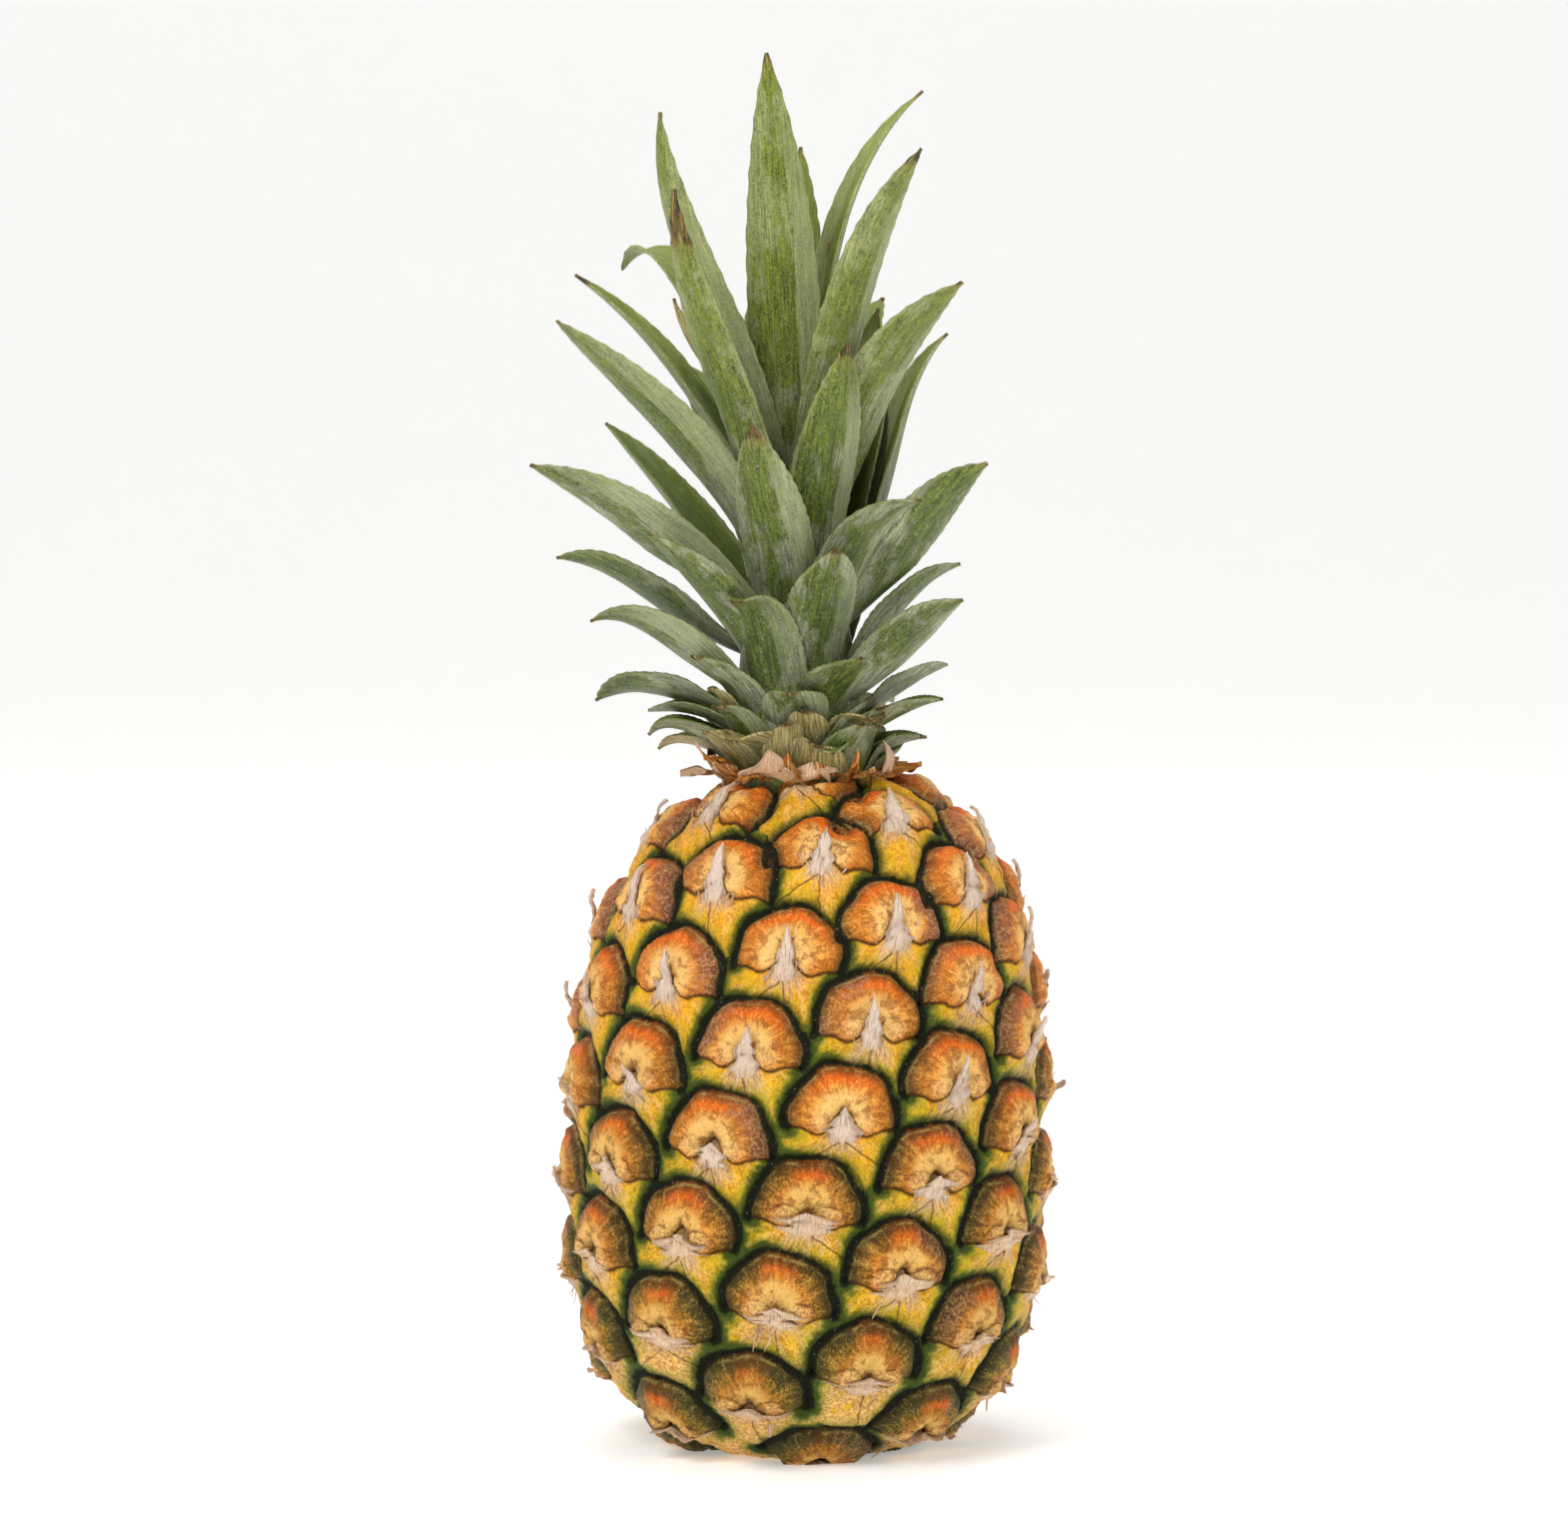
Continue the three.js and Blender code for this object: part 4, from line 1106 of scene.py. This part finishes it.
class PINEAPPLE_OT_bracts(bpy.types.Operator):
    """Builds the papery point that each bract lays over its eye"""

    bl_idname = "pineapple.bracts"
    bl_label = "Bract points"

    def execute(self, context):
        finished_paper(bent_blades("eye_bracts", (7, 16), self.shapes), context, "fruit")
        return {"FINISHED"}

    @staticmethod
    def shapes(over, along, layer):
        for eye in range(FIRST_BRACT_EYE, LAST_BRACT_EYE):
            seed, level = PATTERN.seeds[eye], PATTERN.levels[eye]
            tall = lerp(2.4, 9.6, ease(level + 0.3 * (scatter(eye + 3.1) - 0.5), 0.42, 0.66))
            tall *= drawn(0.8, 1.1, eye + 4.4)
            up = lerp(BRACT_FOOT, tall, along)
            slim = ease(level, 0.25, 0.6)
            wide = [lerp(a, b, slim) for a, b in ((3.4, 1.6), (6.4, 3.2), (6.2, 3.0), (4.4, 2.1), (1.8, 1.1))]
            neck = np.interp(up, [BRACT_FOOT, -3.0, -1.0, 0.8, 0.5 * tall + 0.5, tall], [*wide, 0.0])
            ragged = 1 + lerp(0.75, 0.3, slim) * lumps((np.sign(over) * 3, up * 1.4, eye))
            half = np.maximum(drawn(0.85, 1.25, eye + 9.7) * neck * ragged, 0.1)
            slant = (scatter(eye + 1.7) - 0.5) * 2.6 * np.maximum(up, 0) / 8 + CREASE_STRAY * (seed - 0.5)
            right = over * half + slant
            smooth = PATTERN.smooth_at(eye, right, up)
            owner, on_dome, groove, seam = PATTERN.survey(smooth)
            skin = np.maximum(skin_rise(right, up, on_dome & (owner == eye), groove, seam, seed, level), 0.4)
            lift = lerp(-0.9, 0.2, ease(up, BRACT_FOOT, BRACT_FOOT + 4.0))
            lift -= 0.7 * np.abs(over) ** 3 * ease(up, 0.8, -2)
            lift += 2.2 * ease(up, -0.5, tall) * drawn(0.3, 1.3, eye + 6.3) * ease(along, 0, 0.9)
            ridge = 0.35 * (1 - np.abs(over) ** 1.5) * ease(up, BRACT_FOOT, -1)
            wrinkle = 0.25 * lumps((right * 0.9, up * 0.35, eye))
            rise = skin + lift + ridge + wrinkle + layer * THIN_BLADE
            yield on_skin(smooth, rise), (right, up - BRACT_FOOT), (0.12 * scatter(eye + 2.2), seed)


class PINEAPPLE_OT_fibres(bpy.types.Operator):
    """Builds the loose fibres and small spines of the bracts"""

    bl_idname = "pineapple.fibres"
    bl_label = "Fibres"

    def execute(self, context):
        finished_paper(bent_blades("rind_fibres", (2, 6), self.shapes), context, "fruit")
        return {"FINISHED"}

    @staticmethod
    def shapes(over, along, layer):
        for k in range(FIBRES):
            eye = FIRST_BRACT_EYE + int(scatter(k + 0.9) * (LAST_BRACT_EYE - FIRST_BRACT_EYE))
            low = PATTERN.levels[eye] < 0.3
            size = drawn(1.6, 4.6, k + 17.1) * (1.4 if low else 1)
            aim = drawn(-0.9, 0.9, k + 51.3) + (math.pi if low and k % 2 else 0)
            crook = drawn(-1.6, 1.6, k + 151.3) * along ** 2
            half = 0.95 if low and k % 3 == 0 else 0.28
            right = drawn(-5, 5, k + 71.7) + size * along * math.sin(aim) + crook
            right = right + over * half * (1 - 0.8 * along ** 2)
            up = drawn(-5, 1, k + 91.1) + size * along * math.cos(aim)
            rise = 0.8 + drawn(0.8, 3.0, k + 131.3) * along ** 1.3 + layer * 0.25
            kind = (0.6 * scatter(k + 3.3), scatter(k + 44.1))
            yield on_skin(PATTERN.smooth_at(eye, right, up), rise), (over, along * size), kind


class PINEAPPLE_OT_collar(bpy.types.Operator):
    """Builds the dry curled scales round the crown's foot"""

    bl_idname = "pineapple.collar"
    bl_label = "Collar scales"

    def execute(self, context):
        finished_paper(bent_blades("collar_scales", (7, 16), self.shapes), context, "crown")
        return {"FINISHED"}

    @staticmethod
    def shapes(over, along, layer):
        for k in range(SCALES):
            outward, side = compass(TAU * (k + 0.9 * scatter(k + 200)) / SCALES)
            length = drawn(4.0, 11.0, k + 300)
            hang = drawn(0.7, 1.5, k + 411) + drawn(-1.2, 0.8, k + 431) * along
            away = ROOT_RADIUS + 1.5 + 3.5 * scatter(k + 6) + length * along * np.sin(hang)
            ragged = 1 + 0.6 * lumps((np.sign(over) * 3, along * 5, k))
            half = np.maximum(4.2 * (1 - along ** 3) ** 0.8 * drawn(0.5, 1.3, k + 77) * ragged, 0.15)
            level = 0.2 + scatter(k + 5) + length * along * np.cos(hang) + 1.4 * (1 - over ** 2) * (1 - along)
            level = level + lumps((over * 2, along * 3, k)) + layer * THIN_BLADE
            sideways = over * half + (scatter(k + 31) - 0.5) * 6 * along
            spots = away[:, None] * outward + sideways[:, None] * side + level[:, None] * (0, 0, 1)
            kind = (0.25 if scatter(k + 8) < 0.35 else 1.0, scatter(k + 19))
            yield on_crown(spots), (over * half, along * length), kind


# ---- the cut stalk ----
def stalk_material():
    """Dry fibrous cut: pale tan with darker bundles of fibres in rings."""
    s = Shader("cut_stalk_fibre")
    place = s.object_place()
    coarse = s.noise(place, 3.0, 3)
    pores = s.node("ShaderNodeTexVoronoi", None, {"Vector": place, "Scale": 1 / 1.1})
    fine = s.noise(place, 0.4, 3, 0.7)
    colour = coarse.blend("D8C193", "B99B66").coated(
        (pores.ease(0.35, 0.15) * 0.6, "7D5B33"),
        (coarse.ease(0.6, 0.75) * 0.5, "8F6E42"),
    )
    return s.close(colour, 0.85 + fine.stray(0.1), pores * 0.5 + fine * 0.3, 0.0006)


class PINEAPPLE_OT_stalk(bpy.types.Operator):
    """Builds the cut end of the stalk that carried the fruit"""

    bl_idname = "pineapple.stalk"
    bl_label = "Cut stalk"

    def execute(self, context):
        select_none()
        radius, height = STALK_RADIUS * MM, STALK_HEIGHT * MM
        middle = (0, 0, height / 2)
        bpy.ops.mesh.primitive_cylinder_add(vertices=72, radius=radius, depth=height, location=middle)
        stalk = named("stalk_end")
        bpy.ops.object.transform_apply(location=True, rotation=True, scale=True)
        for polygon in stalk.data.polygons:
            polygon.select = abs(polygon.normal.z) > 0.9
        bpy.ops.object.mode_set(mode="EDIT")
        bpy.ops.mesh.select_mode(type="FACE")
        for width in (0.0007, 0.0012, 0.0024, 0.0026, 0.0026, 0.002):
            bpy.ops.mesh.inset(thickness=width)
        bpy.ops.object.mode_set(mode="OBJECT")
        points = points_of(stalk.data)
        away = np.hypot(points[:, 0], points[:, 1])
        dish = np.where(away < STALK_RADIUS - 0.5, 0.5 + 0.25 * lumps(points.T, 2.6), 0)
        points[:, 2] += np.where(points[:, 2] < STALK_HEIGHT / 2, dish, -dish)
        set_points(stalk.data, points)
        finished(stalk, stalk_material(), "cut_stalk", 40)
        return {"FINISHED"}


# ---- the stage, in metres ----
def floor_material(colour):
    s = Shader("white_sweep")
    soft = s.noise(s.object_place(), 240.0, 2)
    tint = soft.blend(colour, [0.985 * part for part in colour])
    return s.close(tint, 0.9, soft, 0.00001, **{"Emission Color": tint, "Emission Strength": FLOOR_GLOW})


class PINEAPPLE_OT_stage(bpy.types.Operator):
    """Builds the white sweep, the soft light and the camera"""

    bl_idname = "pineapple.stage"
    bl_label = "Stage"

    def execute(self, context):
        settings = context.scene.pineapple_stage
        self.sweep(settings)
        self.lights(context.scene, settings)
        self.camera(context.scene, settings)
        return {"FINISHED"}

    @staticmethod
    def sweep(settings):
        """A floor that curves up into a backdrop."""
        select_none()
        bpy.ops.mesh.primitive_grid_add(x_subdivisions=2, y_subdivisions=64, size=2)
        sweep = named("sweep")
        x, y, _ = points_of(sweep.data, 1).T
        run = (y + 1) / 2 * SWEEP_LENGTH - SWEEP_FRONT
        bend = np.clip((run - SWEEP_FLAT) / SWEEP_CURVE, 0, 1) * math.pi / 2
        depth = np.minimum(run, SWEEP_FLAT) + np.sin(bend) * SWEEP_RADIUS
        level = (1 - np.cos(bend)) * SWEEP_RADIUS + np.maximum(run - SWEEP_FLAT - SWEEP_CURVE, 0)
        set_points(sweep.data, np.stack([x * SWEEP_HALF_WIDTH, depth, level], 1), 1)
        sweep.data.materials.append(floor_material(list(settings.floor)))
        select_only(sweep)
        bpy.ops.object.shade_smooth()

    @staticmethod
    def lights(scene, settings):
        """A white world and three round softboxes, each with its size, power, place and aim."""
        world = bpy.data.worlds.new("studio")
        world.use_nodes = True
        background = world.node_tree.nodes["Background"].inputs
        background["Color"].default_value = (1, 1, 1, 1)
        background["Strength"].default_value = WORLD_LIGHT
        scene.world = world
        for name, size, power, spot, aim in (
            ("key", 1.0, 1.0, (-0.9, -1.3, 1.5), (0, 0, 0.15)),
            ("fill", 1.2, 0.38, (1.3, -1.1, 0.9), (0, 0, 0.15)),
            ("top", 1.4, 0.6, (0, 0.3, 1.9), (0, 0, 0.1)),
        ):
            lamp = bpy.data.lights.new(name, "AREA")
            lamp.shape = "DISK"
            lamp.size = size
            lamp.energy = settings.key * power
            holder = bpy.data.objects.new(name, lamp)
            scene.collection.objects.link(holder)
            holder.location = spot
            x, y, z = np.subtract(spot, aim)
            holder.rotation_euler = (math.atan2(math.hypot(x, y), z), 0, math.atan2(x, -y))

    @staticmethod
    def camera(scene, settings):
        """In front of the fruit, a little above its middle and pitched down."""
        camera = bpy.data.cameras.new("camera")
        camera.lens = CAMERA_LENS
        camera.sensor_width = 36
        camera.clip_end = 30
        holder = bpy.data.objects.new("camera", camera)
        scene.collection.objects.link(holder)
        pitch = math.radians(CAMERA_PITCH)
        x, y, z = CAMERA_AIM
        back = settings.distance
        holder.location = (x, y - back * math.cos(pitch), z + back * math.sin(pitch))
        holder.rotation_euler = (math.pi / 2 - pitch, 0, 0)
        scene.camera = holder
        scene.view_settings.view_transform = "Standard"


class PINEAPPLE_PT_panel(bpy.types.Panel):
    """Lists the pineapple's pieces and their settings"""

    bl_label = "Pineapple"
    bl_space_type = "VIEW_3D"
    bl_region_type = "UI"
    bl_category = "Pineapple"

    def draw(self, context):
        for step in STEPS:
            self.layout.operator(step.bl_idname)
        for group in GROUPS:
            settings = getattr(context.scene, group)
            box = self.layout.box()
            for name in settings.bl_rna.properties.keys():
                if name not in ("name", "rna_type"):
                    box.prop(settings, name)


PATTERN = EyePattern()
STEPS = (
    PINEAPPLE_OT_stage,
    PINEAPPLE_OT_rind,
    PINEAPPLE_OT_bracts,
    PINEAPPLE_OT_fibres,
    PINEAPPLE_OT_collar,
    PINEAPPLE_OT_leaves,
    PINEAPPLE_OT_stalk,
)
GROUPS = {"pineapple_rind": RindSettings, "pineapple_crown": CrownSettings, "pineapple_stage": StageSettings}
CLASSES = (*GROUPS.values(), *STEPS, PINEAPPLE_PT_panel)


def register():
    for kind in CLASSES:
        bpy.utils.register_class(kind)
    for name, group in GROUPS.items():
        setattr(bpy.types.Scene, name, bpy.props.PointerProperty(type=group))


def unregister():
    for name in GROUPS:
        delattr(bpy.types.Scene, name)
    for kind in reversed(CLASSES):
        bpy.utils.unregister_class(kind)


def main():
    register()
    for step in STEPS:
        group, name = step.bl_idname.split(".")
        getattr(getattr(bpy.ops, group), name)()


if __name__ == "__main__":
    main()
